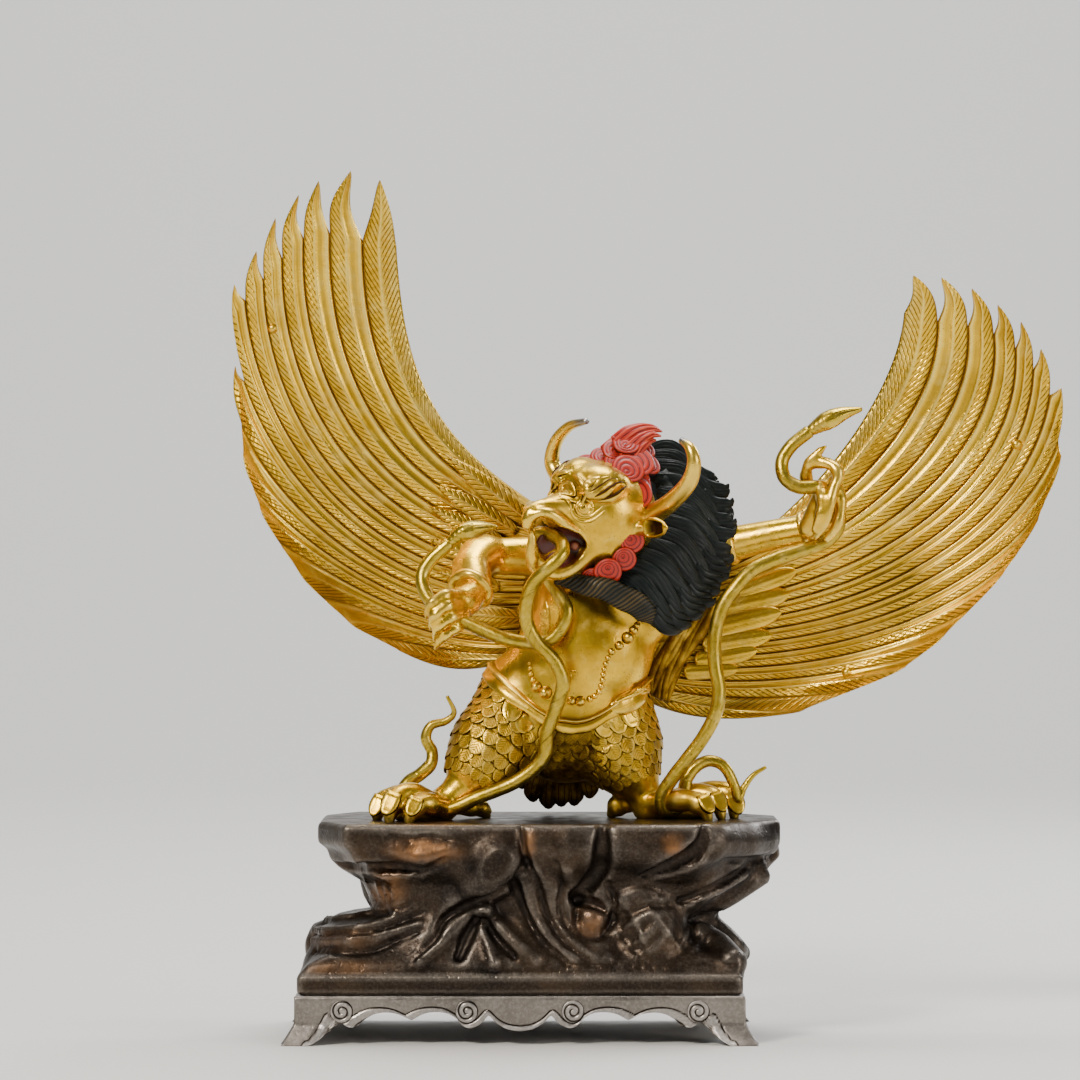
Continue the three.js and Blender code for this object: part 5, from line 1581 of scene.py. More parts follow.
def featherBlade(data, number):
    share = np.linspace(0, 1, feather["rows"])
    split = splitAt(data, number)
    s = np.clip((share - split) / (1 - split), 0, 1)
    grid, depth, width, run = featherGrid(data, number, share, s)
    w = np.array(feather["across"])[None, :]
    back = feather["back"]
    blade = np.minimum(width / 5, 1)
    y = 28 + 34 * depth * (1 - depth) - 17 * depth**3
    half = mix(feather["valley"], feather["ridge"], np.power(np.maximum(1 - np.abs(w), 0), 0.8)) / 2
    half = half * mix(1, 0.55, depth**2) * mix(1, 0.35, s[:, None]**2)
    border = number in (0, feather["count"] - 1)
    vane = step(0.06, 0.16, w) * step(1.0, 0.9, w)
    if border:
        vane = np.maximum(vane, step(-0.06, -0.16, w) * step(-1.0, -0.9, w))
    relief = -0.28 * w + 0.75 * bump(w, 0, 0.09) + (0.25 if border else 1.0) * bump(w, -0.82, 0.12)
    relief = relief - (0 if border else 0.45) * bump(w, -0.42, 0.24) + 0.25 * vane - 0.9 * bump(np.abs(w), 1.02, 0.09)
    phase = (run - np.abs(w) * width / 2 * feather["slant"]) / feather["barbGap"]
    fade = vane * step(0.02, 0.12, share)[:, None] * (1 - s[:, None] * 0.6)
    relief = (relief - 0.22 * fade * (0.5 - 0.5 * np.cos(phase * 2 * math.pi))) * blade
    front = np.stack([grid[..., 0], y - half - relief, grid[..., 1]], -1)
    rear = np.stack([grid[:, back, 0], (y + half)[:, back] + [0.0, 0.5, 0.0] * blade, grid[:, back, 1]], -1)
    rings = np.concatenate([front, rear], 1)
    # Painted shade darkens each feather toward the wing's root and on its back; the tips darken a little too.
    soilAndShade, reach, core = data["soilAndShade"]
    grime = soilAndShade * step(reach, core, depth) + 0.15 * step(0.95, 1.0, depth)
    none = np.zeros((len(share), len(back)))
    marks = {"relief": (np.clip(relief * 1.1, -1, 1), none), "phase": (phase, phase[:, back]), "vane": (fade, none),
             "grime": (grime, grime[:, back] + 0.2), "bare": (0.4 * step(0.985, 1.0, depth), none)}
    marks = {key: (np.concatenate(values, 1), [0, 0]) for key, values in marks.items()}
    return tubePart(rings, rings[0].mean(0), rings[-1].mean(0), **marks)


def seatOnPart(part, pixels):
    # The point of a part's front that shows nearest to each picture point.
    verts = part["verts"]
    x, z = picturePlace(verts)
    seats = []
    for px, pz in pixels:
        far = np.hypot(x - px, z - pz)
        near = np.where(far < far.min() + 2.0)[0]
        seats.append(verts[near[verts[near, 1].argmin()]])
    return np.array(seats)


leaf = {"long": 34, "wide": 10, "rows": 27, "columns": 13, "barbGap": 2.6}


def leafTemplate(blunt):
    # A short feather with its root at the origin, pointing along y.
    v, w = np.meshgrid(np.linspace(0, 1, leaf["rows"]), np.linspace(-1, 1, leaf["columns"]), indexing="ij")
    half = 5.0 * np.power(np.clip(np.sin(np.pi * np.power(v, 0.75) * 0.93 + 0.12), 0, 1), 0.7) * np.power(1 - v**7, 0.6)
    rounded = 5.4 * np.sqrt(np.clip(v / 0.1, 0, 1)) * np.sqrt(1 - np.power(np.clip((v - 0.6) / 0.4, 0, 1), 2.4))
    x = w * np.maximum(mix(half, rounded, blunt), 0.15)
    y = v * leaf["long"] + (1 - w * w) * 0.6
    vane = step(0.08, 0.2, np.abs(w)) * step(1.0, 0.9, np.abs(w)) * mix(1, 0.3, blunt)
    phase = (y - np.abs(x) * 1.1) / leaf["barbGap"]
    relief = mix(0.55, 0.15, blunt) * bump(w, 0, 0.12) + 0.45 * bump(np.abs(w), 0.9, 0.12)
    relief = relief - 0.2 * vane * (0.5 - 0.5 * np.cos(phase * 2 * math.pi))
    z = 0.5 + mix(0.9, 0.3, blunt) * (1 - w * w) * step(0, 0.3, v) + relief + 0.7 * v
    z = z * np.clip(3 * (1 - np.abs(w)), 0.35, 1)
    verts = np.stack([[x, y, z], [x, y, np.full_like(x, -1.2)]]).transpose(0, 2, 3, 1).reshape(-1, 3)
    sheet = sheetFaces(*x.shape)
    rim = rimOf(*x.shape)
    after = np.roll(rim, -1)
    wall = np.stack([after, rim, rim + x.size, after + x.size], 1)
    marks = {"relief": [np.clip(relief * 1.4, -1, 1), np.full_like(x, -0.56)], "phase": [phase, phase],
             "vane": [vane, 0 * vane]}
    return makePart(verts, np.vstack([sheet, sheet[:, ::-1] + x.size, wall]),
                    **{key: np.ravel(values) for key, values in marks.items()})


def roughRoot(line):
    # The coarse, unfinished root beside the body, as a bundle of thick strands.
    parts = []
    for number in range(18):
        shift = (number - 8.5) * 1.9
        k = np.arange(5)
        sway = np.stack([2.2 * np.sin(k * 1.9 + number * 2.3), 0 * k, np.sin(k + number)], 1)
        points = pictureDepth(np.array(line) + [shift, shift * 0.5, abs(shift) * 0.2] + sway)
        strand = loft(points, [1.6, 2.6 + 0.8 * math.sin(number * 1.7), 2.8, 2.2, 1.2], 14, 26)
        strand["marks"]["relief"] = strand["marks"]["relief"] - 0.2 - 0.2 * math.sin(number * 2.9)
        parts.append(strand)
    return parts


def makeWing(side, data):
    blades = [featherBlade(data, number) for number in range(feather["count"])]
    fan = {"verts": np.vstack([part["verts"] for part in blades])}
    roots = [loft([[x, 28.5, z] for x, z in data["root"]], [3.6, 4.6, 4.8, 4.4, 3.4], 20, 40,
                  shape=lambda u, turn: (1 + 0.06 * np.sin(u * 40 + turn * 3), 0)),
             loft(data["tenon"], [7.5, 7, 6], 24, 24, shape=lambda u, turn: (1 + 0.05 * np.sin(u * 31 + turn * 5), 0))]
    if "patch" in data:
        roots += roughRoot(data["patch"])
    # The roots, tenon and rough root are darkened with dirt and painted shade where they meet the body.
    parts = blades + [setGrimeAndShade(part, 0.9) for part in roots]
    for knob in seatOnPart(fan, data["knobs"]):
        parts.append(loft(knob + [[0, 1.4, 0], [0, 0, 0], [0, -1.3, 0]], [2.9, 2.8, 1.5], 16, 9))
    starts, ends, wide = zip(*data["coverts"])
    starts, ends, wide = seatOnPart(fan, starts), seatOnPart(fan, ends), np.array(wide)
    length = np.linalg.norm(ends - starts, axis=1)
    sizes = np.stack([wide / leaf["wide"], length / leaf["long"], np.full(len(wide), 1.25)], 1)
    blunt, soilAndShade = (0.0, 0.25) if side == "left" else (1.0, 0.05)
    leaves = setCopies(leafTemplate(blunt), starts - [0, 0.6, 0], 0 * starts - [0.0, 1.0, 0.0], ends - starts, sizes,
                       "wing")
    makePiece(f"{side}_wing_feathers", f"{side}_wing", parts + [setGrimeAndShade(leaves, soilAndShade)], ["wing"])


for side, data in wings.items():
    makeWing(side, data)
print("wings are modelled")


# Snakes: a scaly body swept along its path, with a leaf-shaped head.

snakes = {
    "left": {
        "head": [[-12, -40, 151], [-20, -41, 150.5], [-29, -42, 148.5], [-36, -42, 143]],
        "body": [[-36, -42, 143], [-46, -42, 134], [-50, -43, 126], [-48, -46, 117], [-42, -48, 110],
                 [-27, -42, 102], [-4, -34, 93], [15, -34, 93], [24, -35, 107], [21, -33, 115],
                 [15, -31, 124], [9, -31, 133], [8, -33, 141], [9, -38, 147.5], [14.5, -45, 147.5],
                 [20.5, -52, 144], [21.5, -58, 138], [15, -60, 131], [6, -54, 121], [3, -47, 105],
                 [8, -44, 93], [18, -42, 82], [22, -41, 72], [20, -38, 63], [14, -34, 46],
                 [12, -32, 33], [-1, -30, 21], [-22, -30, 12], [-36, -28, 6], [-49, -22, 5],
                 [-58, -15, 7.5], [-61, -10, 13.5], [-58, -9, 19], [-52, -11, 23], [-46.5, -12, 28]],
        "tail": [[-58, -9, 19], [-52, -11, 23], [-46.5, -12, 28], [-45.7, -10, 34.7], [-48.9, -10, 41.9],
                 [-46.3, -10, 48.2], [-38.5, -10, 50.7], [-34.3, -11, 54.9], [-37.9, -12, 63.8]],
        "rows": 420,
    },
    "right": {
        "head": [[176, -22, 212], [166, -22, 209.5], [157, -22, 205.5], [149, -22, 200.5]],
        "body": [[149, -22, 200.5], [139.6, -23, 192.9], [134.9, -24, 184.7], [136.3, -26, 176.4],
                 [143.5, -27, 171.8], [152.3, -26, 171.8], [159.2, -22, 169.2], [164.2, -17, 161],
                 [164.3, -16, 151.7], [159.1, -17, 144.5], [147.7, -19, 139.8], [127.9, -21, 133.1],
                 [119, -23, 128.5], [110.1, -25, 119.3], [103.9, -25, 109.5], [100.3, -25, 95.1],
                 [100.3, -25, 80.6], [102.4, -25, 67.3], [100.8, -25, 55.9], [94.7, -24, 43.5],
                 [78.3, -20, 21.2], [73, -18, 12.3], [74, -16, 5.5], [80, -12, 4.5], [84, -11, 10],
                 [86, -10, 20]],
        "tail": [[84, -11, 10], [86, -10, 20], [91, -9, 27], [98, -8, 30], [105, -8, 27.5],
                 [111, -8, 17], [113, -7, 10], [116, -5, 16], [121, -4, 22.5], [127.6, -3, 26.6]],
        "rows": 330,
    },
}

snakeSkin = {"radius": 3.6, "sides": 24, "scaleGap": 3.2, "scaleDepth": 0.2, "around": 6}


def scalySweep(points, girths, rows):
    part = sweep(points, np.array(girths) * snakeSkin["radius"], snakeSkin["sides"], rows, "snake")
    along, around = part["marks"]["along"], part["marks"]["around"]
    line = alongCurve(points, 40 * len(points))
    run = runOf(line)
    far = along * run[-1]
    centre = np.stack([np.interp(far, run, line[:, k]) for k in range(3)], 1)
    out = unitRows(part["verts"] - centre)
    # Crossing cuts leave small lozenge scales; here and there a deeper notch rings the body.
    lengthwise = far / snakeSkin["scaleGap"]
    turn = around * snakeSkin["around"]
    cut = np.minimum(np.abs(np.sin((lengthwise + turn) * math.pi)), np.abs(np.sin((lengthwise - turn) * math.pi)))
    notch = bump(np.mod(far + 2 * np.sin(turn), 11.0), 5.5, 0.6)
    relief = 0.42 * step(0.5, 0.9, cut) - 0.5 * step(0.5, 0.05, cut) - 0.4 * notch
    part["verts"] = part["verts"] + out * (relief * snakeSkin["scaleDepth"] - 0.02)[:, None]
    part["marks"] = {"relief": relief * 0.7, "along": along}
    return setGrimeAndShade(part, 0.12)


def snakeHeadShape(u, turn):
    # The mouth line runs round the snout; two brows and a crest line lie on top.
    side, top = np.cos(turn), np.sin(turn)
    mouth = bump(top, -0.12, 0.11) * step(0.75, 0.25, u) * step(0.02, 0.1, u)
    brow = bump(np.abs(side), 0.62, 0.22) * step(0.1, 0.7, top) * bump(u, 0.55, 0.16)
    crown = bump(side, 0, 0.2) * step(0, 0.5, top) * step(0.2, 0.5, u)
    cuts = np.abs(np.sin(u * 34 + side * 4)) * step(0.6, 0.8, u) * 0.05
    return 1 - 0.15 * mouth + 0.13 * brow + 0.05 * crown - cuts, 0.55 * brow + 0.3 * crown - 0.9 * mouth - cuts * 5


def snakeEyes(points):
    centre, _, side, up = [rows[0] for rows in curveFrames(points, np.array([0.5, 0.502]), (0, 1, 0))]
    eyes = []
    for sign in (-1, 1):
        for way in (-1, 1):
            middle = centre + side * sign * 4.0 + up * 2.5 * way
            eyes.append(loft([middle - side * 0.8 * sign, middle + side * 0.9 * sign], [1.15, 0.8], 12, 5))
    return eyes


def makeSnake(side, data):
    r = snakeSkin["radius"]
    skull = loft(data["head"], [1.3, 2.8, r * 1.2, r * 1.5, r * 1.52, r * 1.2, r * 0.86], 40, 56, across=(0, 1, 0),
                 wide=1.12, deep=0.88, shape=snakeHeadShape)
    parts = [scalySweep(data["body"], [0.95, 1, 1, 1, 1, 1, 1, 0.95], data["rows"]),
             scalySweep(data["tail"], [0.93, 0.9, 0.8, 0.55, 0.25], 110), skull]
    makePiece(f"{side}_snake_skin", f"{side}_snake", parts + snakeEyes(data["head"]), ["snake"])


for side, data in snakes.items():
    makeSnake(side, data)
print("snakes are modelled")


# Rock plinth: a clay block between slab and plate, with folds added and carved on its front and back.

stand = {"height": 24.5, "length": 229.0, "depth": 130.0, "flare": 6.5, "wall": 4.0, "top": 5.0}

rock = {
    "pitch": 1.55, "tall": 87.0,
    "slabPlan": [(-0.86, -1), (0.7, -1), (1, -0.22), (1, 0.4), (0.76, 1), (-0.85, 1), (-1, 0.5), (-1, -0.5)],
    "platePlan": [(-0.985, -1), (0.985, -1), (1, -0.97), (1, 0.97), (0.985, 1), (-0.985, 1), (-1, 0.97),
        (-1, -0.97)],
    "waistPlan": [(-0.8, -0.92), (0.1, -1), (0.8, -0.85), (1, -0.3), (1, 0.4), (0.7, 0.95), (-0.2, 1),
        (-0.9, 0.8),
                  (-1, 0), (-0.97, -0.5)],
    # Height above the table, reach left, right and deep, then how far from the slab's plan to the waist's.
    "rows": [(24.8, 113.5, 113.5, 62.0, 2.0), (34.0, 113.5, 113.5, 62.0, 2.0), (35.0, 112.5, 112.0, 60.6, 2.0),
             (40.0, 111.0, 115.0, 60.0, 1.8), (48.0, 110.0, 111.0, 58.5, 1.0), (57.0, 106.0, 101.0, 55.5, 1.0),
             (61.0, 97.0, 99.0, 53.5, 1.0), (64.0, 77.0, 101.5, 52.5, 1.0), (71.0, 80.0, 112.5, 52.5, 1.0),
             (80.0, 82.0, 124.0, 54.5, 0.8), (87.0, 92.0, 128.0, 57.5, 0.3), (92.0, 97.0, 133.0, 60.0, 0.0),
             (97.0, 99.0, 134.0, 61.5, 0.0), (101.0, 104.0, 134.5, 62.5, 0.0), (109.5, 104.0, 134.5, 62.5, 0.0),
             (111.5, 102.2, 132.8, 60.9, 0.0)],
}

rockStrokes = [
    ("add", [(398, 846), (440, 856), (490, 862), (512, 872)], [9, 13, 15, 11], 5.0, 11.0),
    ("add", [(500, 862), (478, 884), (450, 905), (425, 940)], [13, 12, 9, 6], 5.5, 6.5),
    ("add", [(536, 846), (566, 850), (592, 846)], [10, 12, 9], 5.0, 8.5),
    ("add", [(620, 846), (660, 850), (690, 842)], [10, 12, 9], 5.0, 8.5),
    ("add", [(716, 842), (744, 842), (766, 841)], [8, 8, 4.5], 5.0, 5.0),
    ("add", [(536, 868), (552, 890), (556, 918), (578, 944), (606, 960)], [6, 5.5, 5, 5, 4], 3.0, 2.8),
    ("add", [(566, 868), (572, 884), (566, 906), (576, 928), (606, 948)], [5, 4.5, 4, 4, 3], 2.2, 2.4),
    ("add", [(528, 884), (533, 912), (548, 938), (572, 958)], [5, 5, 4.5, 3.5], 2.6, 2.6),
    ("add", [(640, 905), (650, 926), (655, 948)], [14, 17, 14], 6.0, 8.0),
    ("add", [(612, 905), (640, 894), (668, 902)], [5, 5, 4], 2.6, 2.5),
    ("add", [(592, 920)], [8.5], 2.0, 3.5),
    ("add", [(479, 904), (450, 932), (418, 960)], [4.6, 4.8, 4.2], 2.4, 1.2),
    ("add", [(484, 910), (508, 936), (536, 960)], [4.6, 4.4, 4.0], 2.4, 1.4),
    ("add", [(770, 872), (738, 892), (700, 916)], [4.5, 5.0, 4.0], 2.6, 2.0),
    ("add", [(742, 874), (716, 888), (688, 902)], [3.6, 4.0, 3.2], 2.0, 1.6),
    ("add", [(709, 921), (728, 938), (745, 958)], [4.5, 5.0, 5.0], 4.0, 3.0),
    ("add", [(308, 922), (345, 919), (380, 912), (404, 900)], [2.8, 2.8, 2.6, 2.0], 1.4, 0.6),
    ("add", [(305, 931), (345, 929), (385, 922), (420, 905)], [2.6, 2.8, 2.6, 2.0], 1.4, 0.6),
    ("add", [(304, 941), (345, 940), (385, 934), (420, 924)], [2.8, 2.8, 2.6, 2.2], 1.4, 0.6),
    ("carve", [(322, 858), (345, 866), (372, 869), (400, 868), (424, 866)],
     [1.5, 4.0, 4.6, 3.8, 1.6], 2.0, -3.0),
    ("carve", [(392, 834), (408, 838), (430, 836), (452, 842)], [1.0, 1.4, 1.4, 1.0], 1.5, -0.4),
    ("carve", [(526, 862), (514, 882), (494, 897), (468, 905), (444, 920), (434, 938), (412, 960)],
     [2.4, 3.4, 3.6, 2.8, 2.6, 2.6, 1.6], 1.6, -1.0),
    ("carve", [(477, 918), (467, 938), (459, 957)], [2.2, 3.6, 2.8], 1.6, -1.8),
    ("carve", [(483, 916), (494, 936), (514, 957)], [1.6, 2.6, 2.0], 1.4, -0.9),
    ("add", [(482, 928), (488, 946), (494, 963)], [1.4, 2.6, 3.0], 1.6, 0.6),
    ("carve", [(514, 884), (524, 912), (540, 940), (566, 962)], [3.0, 2.6, 2.4, 1.6], 1.6, -0.6),
    ("carve", [(521, 828), (523, 846), (528, 866), (538, 884), (546, 912), (562, 940), (588, 960)],
     [1.6, 2.0, 2.4, 1.6, 1.5, 1.4, 1.0], 1.4, -0.6),
    ("carve", [(556, 862), (562, 884), (560, 912), (574, 936), (604, 956)],
     [1.2, 1.5, 1.5, 1.5, 1.0], 1.2, -0.3),
    ("carve", [(603, 826), (602, 848), (600, 868), (590, 884), (577, 896)],
     [2.6, 4.2, 5.2, 5.0, 4.4], 3.0, -2.6),
    ("carve", [(578, 900), (590, 903), (600, 908)], [3.4, 3.6, 2.4], 1.8, -1.2),
    ("add", [(702, 938), (717, 950), (732, 963)], [8, 9, 8], 4.0, 4.0),
    ("add", [(392, 850), (422, 857), (452, 850)], [3.0, 5.0, 3.0], 3.0, 1.6),
    ("carve", [(384, 868), (420, 870), (446, 858)], [1.0, 1.8, 1.0], 1.2, -0.4),
    ("carve", [(577, 912), (576, 926), (586, 938), (600, 938)], [2.0, 2.2, 2.0, 1.6], 1.4, -0.6),
    ("carve", [(608, 884), (614, 902), (612, 922), (604, 934)], [1.6, 2.0, 2.0, 1.6], 1.4, -0.4),
    ("carve", [(705, 828), (703, 842), (692, 856), (668, 868), (642, 876)],
     [2.6, 4.0, 5.4, 5.0, 2.0], 2.2, -2.6),
    ("carve", [(724, 860), (750, 861), (782, 855)], [1.8, 3.0, 2.6], 1.6, -2.0),
    ("carve", [(780, 880), (748, 900), (716, 914), (690, 922)], [2.4, 2.6, 2.8, 2.2], 1.6, -0.8),
    ("carve", [(748, 866), (724, 882), (690, 898), (668, 904)], [1.8, 2.2, 2.2, 1.4], 1.4, -0.8),
    ("carve", [(302, 926), (345, 924), (383, 917), (412, 902)], [0.9, 1.1, 1.1, 0.8], 0.8, -0.2),
    ("carve", [(302, 936), (345, 935), (386, 928), (424, 912)], [0.9, 1.1, 1.1, 0.8], 0.8, -0.2),
    ("carve", [(302, 951), (345, 952), (374, 950), (398, 940), (424, 930)],
     [2.0, 2.4, 2.2, 1.4, 0.8], 1.4, -0.8),
    ("carve", [(560, 964), (620, 966), (690, 966), (735, 964)], [0.8, 1.0, 1.0, 0.8], 0.8, -0.2),
]

# Thin ribs fan out of one point under the slab's left end.
ribFan = {"from": (394, 914), "to": [(350, 884), (362, 872), (374, 868), (387, 866), (400, 866), (414, 868),
    (428, 873),
                                     (440, 882)], "bow": 9.0}

# Crossing folds of the boulder: picture points of its low ridges.
boulderFolds = [
    [(606, 918), (630, 906), (656, 900), (690, 908)], [(610, 940), (630, 925), (648, 915), (672, 912)],
    [(604, 955), (632, 945), (652, 930), (660, 914)], [(628, 960), (650, 950), (668, 932), (672, 916)],
    [(655, 962), (676, 950), (688, 930), (690, 914)], [(680, 964), (694, 950), (700, 934), (696, 920)],
    [(624, 900), (640, 930), (652, 960)], [(642, 898), (662, 925), (684, 955)], [(612, 926), (622, 944),
     (640, 962)],
]

# Warm rubs where the patina has worn: picture middle, half sizes, and strength.
rockRubs = [((424, 851), (40, 13), 0.85), ((590, 921), (18, 17), 0.6), ((673, 844), (13, 12), 1.0),
            ((529, 842), (8, 16), 0.8), ((388, 888), (20, 26), 0.5), ((340, 940), (40, 14), 0.25),
            ((345, 968), (50, 10), 0.25), ((565, 812), (60, 6), 0.6), ((430, 822), (40, 6), 0.5)]

# Painted highlights where the patina looks pale, on the boulder also paler worn patina: picture middle, half sizes, and
# strength.
paintedRockHighlights = [((655, 930), (56, 40), 0.4), ((452, 892), (24, 16), 0.7), ((500, 966), (120, 8), 0.5),
             ((420, 832), (60, 6), 0.9), ((585, 955), (40, 12), 0.5), ((430, 938), (16, 26), 0.35),
             ((590, 836), (50, 6), 0.5), ((735, 833), (40, 5), 0.6),
             ((520, 974), (300, 12), 0.45)]

tableTop = stand["height"] + rock["tall"]


def aboveRock(z):
    # How far a height lies above the slab's top or below the plate's underside.
    return np.maximum(z, -(z + rock["tall"] - 0.3))


def rayReach(plan, turns):
    # How far a closed outline lies from its middle along each direction.
    plan = np.array(plan, float)
    reach = np.full(len(turns), 9.0)
    x, y = np.cos(turns), np.sin(turns)
    for a, b in zip(plan, np.roll(plan, -1, axis=0)):
        cross = x * (b[1] - a[1]) - y * (b[0] - a[0])
        cross = np.where(np.abs(cross) < 1e-9, 1e-9, cross)
        along = (a[0] * (b[1] - a[1]) - a[1] * (b[0] - a[0])) / cross
        share = (a[0] * y - a[1] * x) / cross
        hit = (along > 0) & (share > -1e-6) & (share < 1 + 1e-6)
        reach = np.where(hit & (along < reach), along, reach)
    return reach


def makeRockClay():
    turns = np.linspace(-math.pi, math.pi, 721)
    plans = [rayReach(rock[key], turns) for key in ("slabPlan", "waistPlan", "platePlan")]
    clay = newClay([-120, -68, -90], [140, 68, 4], rock["pitch"])
    x, y, z = [low + np.arange(count) * clay["pitch"] for low, count in zip(clay["low"], clay["field"].shape)]
    gridX, gridY = np.meshgrid(x, y, indexing="ij")
    heights, *reaches = np.array(rock["rows"]).T
    for k, level in enumerate(z):
        high = np.clip(level + tableTop, heights[0], heights[-1])
        left, right, deep, plan = [np.interp(high, heights, values) for values in reaches]
        side = np.where(gridX < 0, left, right)
        acrossX, acrossY = gridX / side, gridY / deep
        turn = np.arctan2(acrossY, acrossX)
        first = int(min(plan, 1.999))
        reach = np.interp(turn, turns, mix(plans[first], plans[first + 1], plan - first))
        # Leaning folds run round the sides and the back.
        ribs = step(33, 44, high) * step(100, 88, high)
        lean = high * 0.045
        wave = 0.62 * np.abs(np.sin(turn * 5.5 + lean)) + 0.38 * np.abs(np.sin(turn * 9 - lean * 1.6 + 1))
        reach = reach * (1 + 0.085 * ribs * mix(1.0, 0.35, step(-0.2, -0.6, acrossY)) * (wave - 0.7))
        middle = np.where(np.abs(acrossY) > np.abs(acrossX) * 0.9, deep, np.minimum(side, deep * 1.4))
        flat, rise = (np.hypot(acrossX, acrossY) - reach) * middle, aboveRock(level)
        both = np.hypot(np.maximum(flat, 0), np.maximum(rise, 0))
        far = np.where((flat > 0) | (rise > 0), both, np.maximum(flat, rise))
        clay["field"][:, :, k] = np.clip(far, -farAway, farAway)
    return clay


def strokeRock(clay, way, pixels, girths, blend, sink):
    # `sink` moves the stroke into the face, along the line of sight.
    seats = seatPixels(clay, alongCurve(pixels, 3 * len(pixels)) if len(pixels) > 1 else pixels, -70, 60)
    if way == "add":
        addLimb(clay, seats + [0, sink, 0], girths, blend)
    else:
        carveLimb(clay, seats - [0, 0.4 * sink, 0], girths, blend)


def foldBack(clay):
    # Grooves and ribs over the back and both ends, seen from behind.
    share = np.linspace(0, 1, 6)
    depth = np.arange(66, 20, -0.5)
    for number in range(9):
        x = mix(-88, 100, number / 8) + 16 * np.sin(share * 4 + number * 1.3)
        z = mix(96, 40, share) - tableTop
        inside = sampleClay(clay, np.stack(np.broadcast_arrays(x[:, None], depth, z[:, None]), -1)) < 0
        path = np.stack([x, np.where(inside.any(1), depth[inside.argmax(1)], 50), z], 1)
        carveLimb(clay, path + [0, 0.6, 0], [1.4, 2.6, 3.4, 2.8, 2.0, 1.0], 2.2)
        if number % 2:
            addLimb(clay, path + [9, -2.4, 0], [2.0, 4.0, 4.6, 4.0, 2.0], 3.0)


def blotches(verts, spots, inner):
    # Soft patches on the front, where spots of the picture fall.
    px, py = picturePlace(verts)
    patches = [strength * step(1.3, inner, np.hypot((px - x) / wide, (py - y) / tall))
               for (x, y), (wide, tall), strength in spots]
    return np.maximum.reduce(patches) * step(10, -20, verts[:, 1])


def makeRock():
    clay = makeRockClay()
    for stroke in rockStrokes:
        strokeRock(clay, *stroke)
    start = np.array(ribFan["from"], float)
    for target in ribFan["to"]:
        middle = mix(start, np.array(target, float), 0.5) + [-ribFan["bow"] * 0.3, ribFan["bow"] * 0.4]
        strokeRock(clay, "add", [start, middle, target], [0.8, 1.6, 1.0], 0.8, 0.5)
    for fold in boulderFolds:
        strokeRock(clay, "add", fold, [0.8, 1.7, 1.7, 0.8], 0.9, 0.5)
    foldBack(clay)
    # Nothing reaches above the slab's top or below the plate.
    height = clay["low"][2] + np.arange(clay["field"].shape[2]) * clay["pitch"]
    clay["field"] = np.maximum(clay["field"], aboveRock(height).astype(np.float32))
    skin = addCurvature(claySkin(clay), 1.3)
    verts, marks = skin["verts"], skin["marks"]
    marks["rub"] = blotches(verts, rockRubs, 0.15)
    # The painted highlights raise the relief mark, so these places take the sheen colour.
    shine = blotches(verts, paintedRockHighlights, 0.1)
    relief = marks["relief"] + shine * (0.35 + 0.8 * np.maximum(marks["relief"], 0))
    # Painted highlights brighten the edges of slab and plate.
    slabEdge = bump(verts[:, 2], -1.0, 1.4) * step(52, 58, np.abs(verts[:, 1]))
    plateEdge = bump(verts[:, 2], -77.0, 1.5) * step(56, 60, np.abs(verts[:, 1]))
    marks["relief"] = np.clip(relief + 0.5 * slabEdge + 0.6 * plateEdge, -1, 1)
    makePiece("rock_body", "rock_plinth", [skin], ["rock"])


makeRock()
print("rock is modelled")


# Stand: a hollow scalloped frame; its apron edge carries a raised band, with scrolls between the arches.

apron = {
    # Each run is one rounded arch or lobe; the runs meet in sharp cusps and notches.
    "edge": [[[108.4, -0.05], [104.5, 0.1], [100.8, 0.3], [97.9, 0.54]],
             [[97.9, 0.54], [94.5, 0.41], [90.5, 0.36], [87, 0.4], [84.5, 0.5]],
             [[84.5, 0.5], [78.6, 0.63], [72, 0.67], [65.4, 0.635], [58.2, 0.51]],
             [[58.2, 0.51], [52.2, 0.635], [45.6, 0.68], [39, 0.65], [34, 0.55]],
             [[34, 0.55], [31.5, 0.42], [27.2, 0.35], [21.5, 0.43], [16.8, 0.62]],
             [[16.8, 0.62], [12, 0.44], [6.5, 0.33], [0, 0.29]]],
    "reference": 108.4, "toe": 13.0, "band": (0.2, 1.7), "line": 2.4, "raise": 0.6,
}
scrolls = {"at": [-0.79, -0.235, 0.235, 0.79], "radius": 5.8, "high": 0.69, "raise": 0.9}

# Shares of the height from the apron's edge up to the top, and from the ceiling down inside.
outerRows = np.concatenate([np.linspace(0, 0.32, 13), np.linspace(0.36, 1, 12)])[:, None]
innerRows = np.array([1.0, 0.8, 0.5, 0.25, 0.0])[:, None]


def apronLine(half):
    size = [(half + stand["flare"] - apron["toe"]) / apron["reference"], stand["height"]]
    x, z = np.vstack([alongCurve(np.array(run) * size, 40) for run in apron["edge"]])[::-1].T
    return x, np.maximum(z, 0)


def flareAt(z):
    return stand["flare"] * np.interp(z / stand["height"], [0, 0.14, 0.4, 1], [1, 0.6, 0, 0])


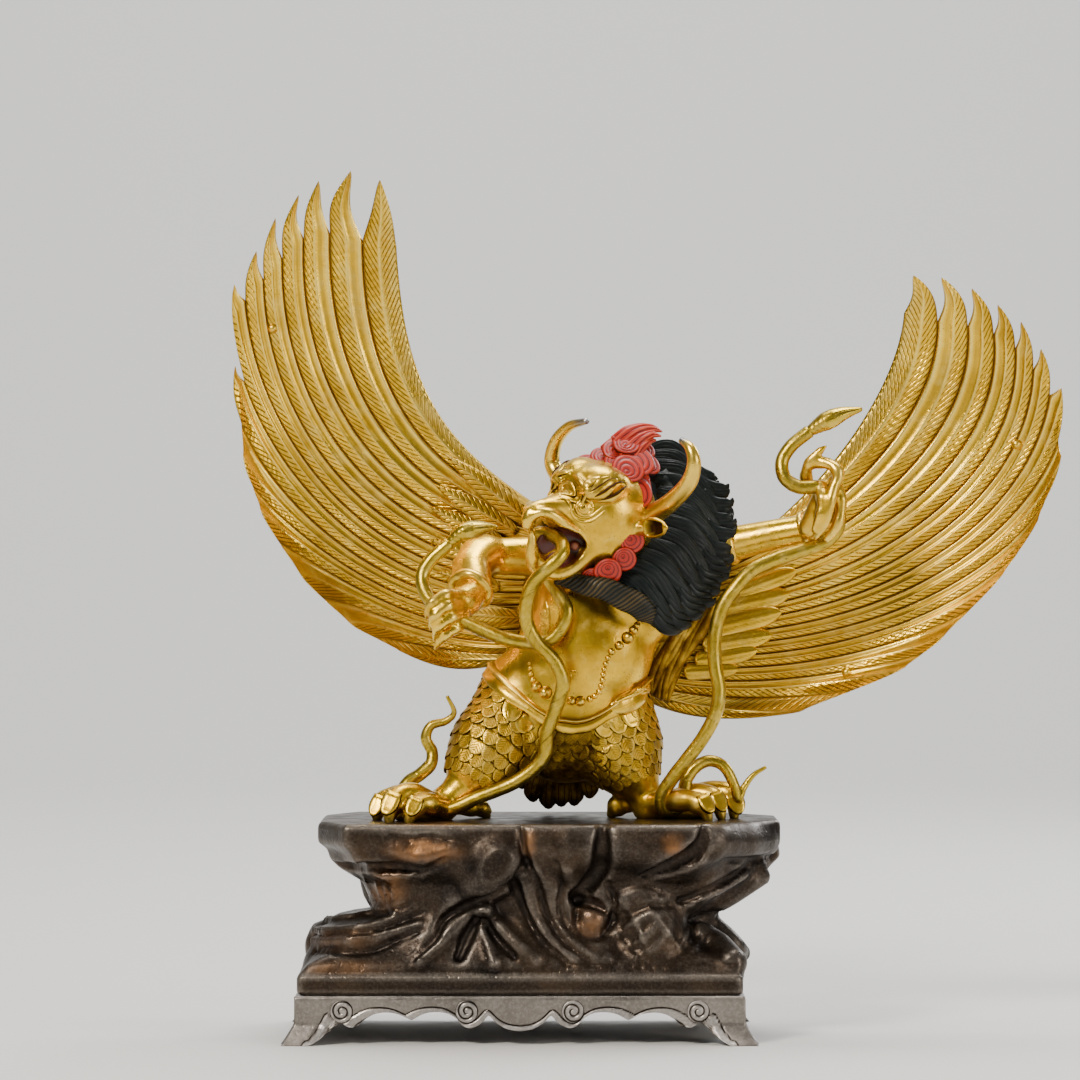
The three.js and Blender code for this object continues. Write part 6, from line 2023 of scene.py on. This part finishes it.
def standSide(half, other, columns):
    # One side of the frame, seen from the front, as a grid of outer and inner points.
    x, z = apronLine(half)
    s = np.linspace(-1, 1, columns)
    place = np.abs(s) * (half + stand["flare"])
    high = mix(np.interp(place, x, z, right=0.0), stand["height"], outerRows)
    spread = flareAt(high)
    at = s * (half + spread)
    far = np.minimum(*[np.hypot(at[..., None] - way * x, high[..., None] - z).min(-1) for way in (-1, 1)])
    low, top = apron["band"]
    free = step(0.995, 0.97, np.abs(s))
    band = step(low - 0.5, low, far) * step(top + 0.5, top, far)
    cut = bump(far, apron["line"], 0.45)
    lift = (apron["raise"] * band - 0.35 * cut) * free
    roll = 0.5 * step(stand["height"] - 0.2, stand["height"] - 1.6, high) - 0.5
    outer = np.stack([at, -(other + spread + lift + roll * 0.8), high], -1)
    shrink = (half - stand["wall"]) / half
    above = np.interp(place * shrink, x, z, right=0.0)
    high = mix(above, np.maximum(stand["height"] - stand["top"], above), innerRows)
    spread = flareAt(high)
    inner = np.stack([s * (half + spread) * shrink, stand["wall"] - other - spread * 0.8, high], -1)
    # The raised band takes a painted highlight; the cut line beside it and the inner faces take painted shade.
    relief = np.vstack([(0.75 * band - 1.0 * cut) * free, np.full(high.shape, -0.35)])
    return np.concatenate([outer, inner]), relief


def scrollPart(x, face, deep, rows=18, sides=44):
    # A flat disc with a spiral ridge, its eye standing out.
    reach, turn = np.meshgrid(np.linspace(0.02, 1, rows), turnsOf(sides), indexing="ij")
    phase = np.mod(reach * 2.1 + np.sign(x) * face * turn / (2 * math.pi), 1.0)
    ridge = step(0.12, 0.32, phase) * step(1.0, 0.75, phase)
    relief = np.maximum(ridge * step(1.0, 0.95, reach), step(0.2, 0.12, reach))
    out = stand["wall"] * 0.2 + scrolls["raise"] * (0.25 + 0.75 * relief) * step(1.02, 0.96, reach)
    high = stand["height"] * scrolls["high"] - tableTop
    size = reach * scrolls["radius"]
    front = np.stack([x + np.cos(turn) * size, face * (deep + out - 0.6), high + np.sin(turn) * size], -1)
    back = face * (deep - 1.5)
    rings = np.concatenate([front, front[-1:] * [1, 0, 1] + [0, back, 0]])
    return tubePart(rings, [x, front[0, 0, 1], high], [x, back, high],
                    relief=(np.vstack([relief * 1.6 - 0.8, np.zeros(sides)]), [0, 0]))


def makeStand():
    halves = (stand["length"] / 2, stand["depth"] / 2)
    grids, reliefs = [], []
    for quarter in range(4):
        half, other = halves if quarter % 2 == 0 else halves[::-1]
        grid, relief = standSide(half, other, (236, 136)[quarter % 2])
        cos, sin = math.cos(quarter * math.pi / 2), math.sin(quarter * math.pi / 2)
        grid[..., :2] = grid[..., :2] @ [[cos, sin], [-sin, cos]]
        grids.append(grid[:, :-1])
        reliefs.append(relief[:, :-1])
    # The ring closes from its inner foot back to its outer foot; top and ceiling are flat lids.
    rings, relief = np.concatenate(grids, 1), np.concatenate(reliefs, 1)
    body = wheelPart(rings, np.append(relief, [0, -0.3]))
    count, columns, outer = relief.size, relief.shape[1], len(outerRows)
    body["quads"] = body["quads"][np.arange(count) // columns != outer - 1]
    loop = (outer - 1) * columns + np.arange(columns)
    lid = np.stack([loop, np.roll(loop, -1), np.full(columns, count)], 1)
    body["tris"] = np.vstack([lid, (lid + [columns, columns, 1])[:, ::-1]])
    middles = [[0, 0, stand["height"]], [0, 0, stand["height"] - stand["top"]]]
    body["verts"] = np.vstack([body["verts"], middles]) - [0, 0, tableTop]
    parts = [body] + [scrollPart(x * halves[0], face, halves[1]) for x in scrolls["at"] for face in (-1, 1)]
    makePiece("stand_body", "footed_stand", parts, ["stand"])


makeStand()
print("stand is modelled")
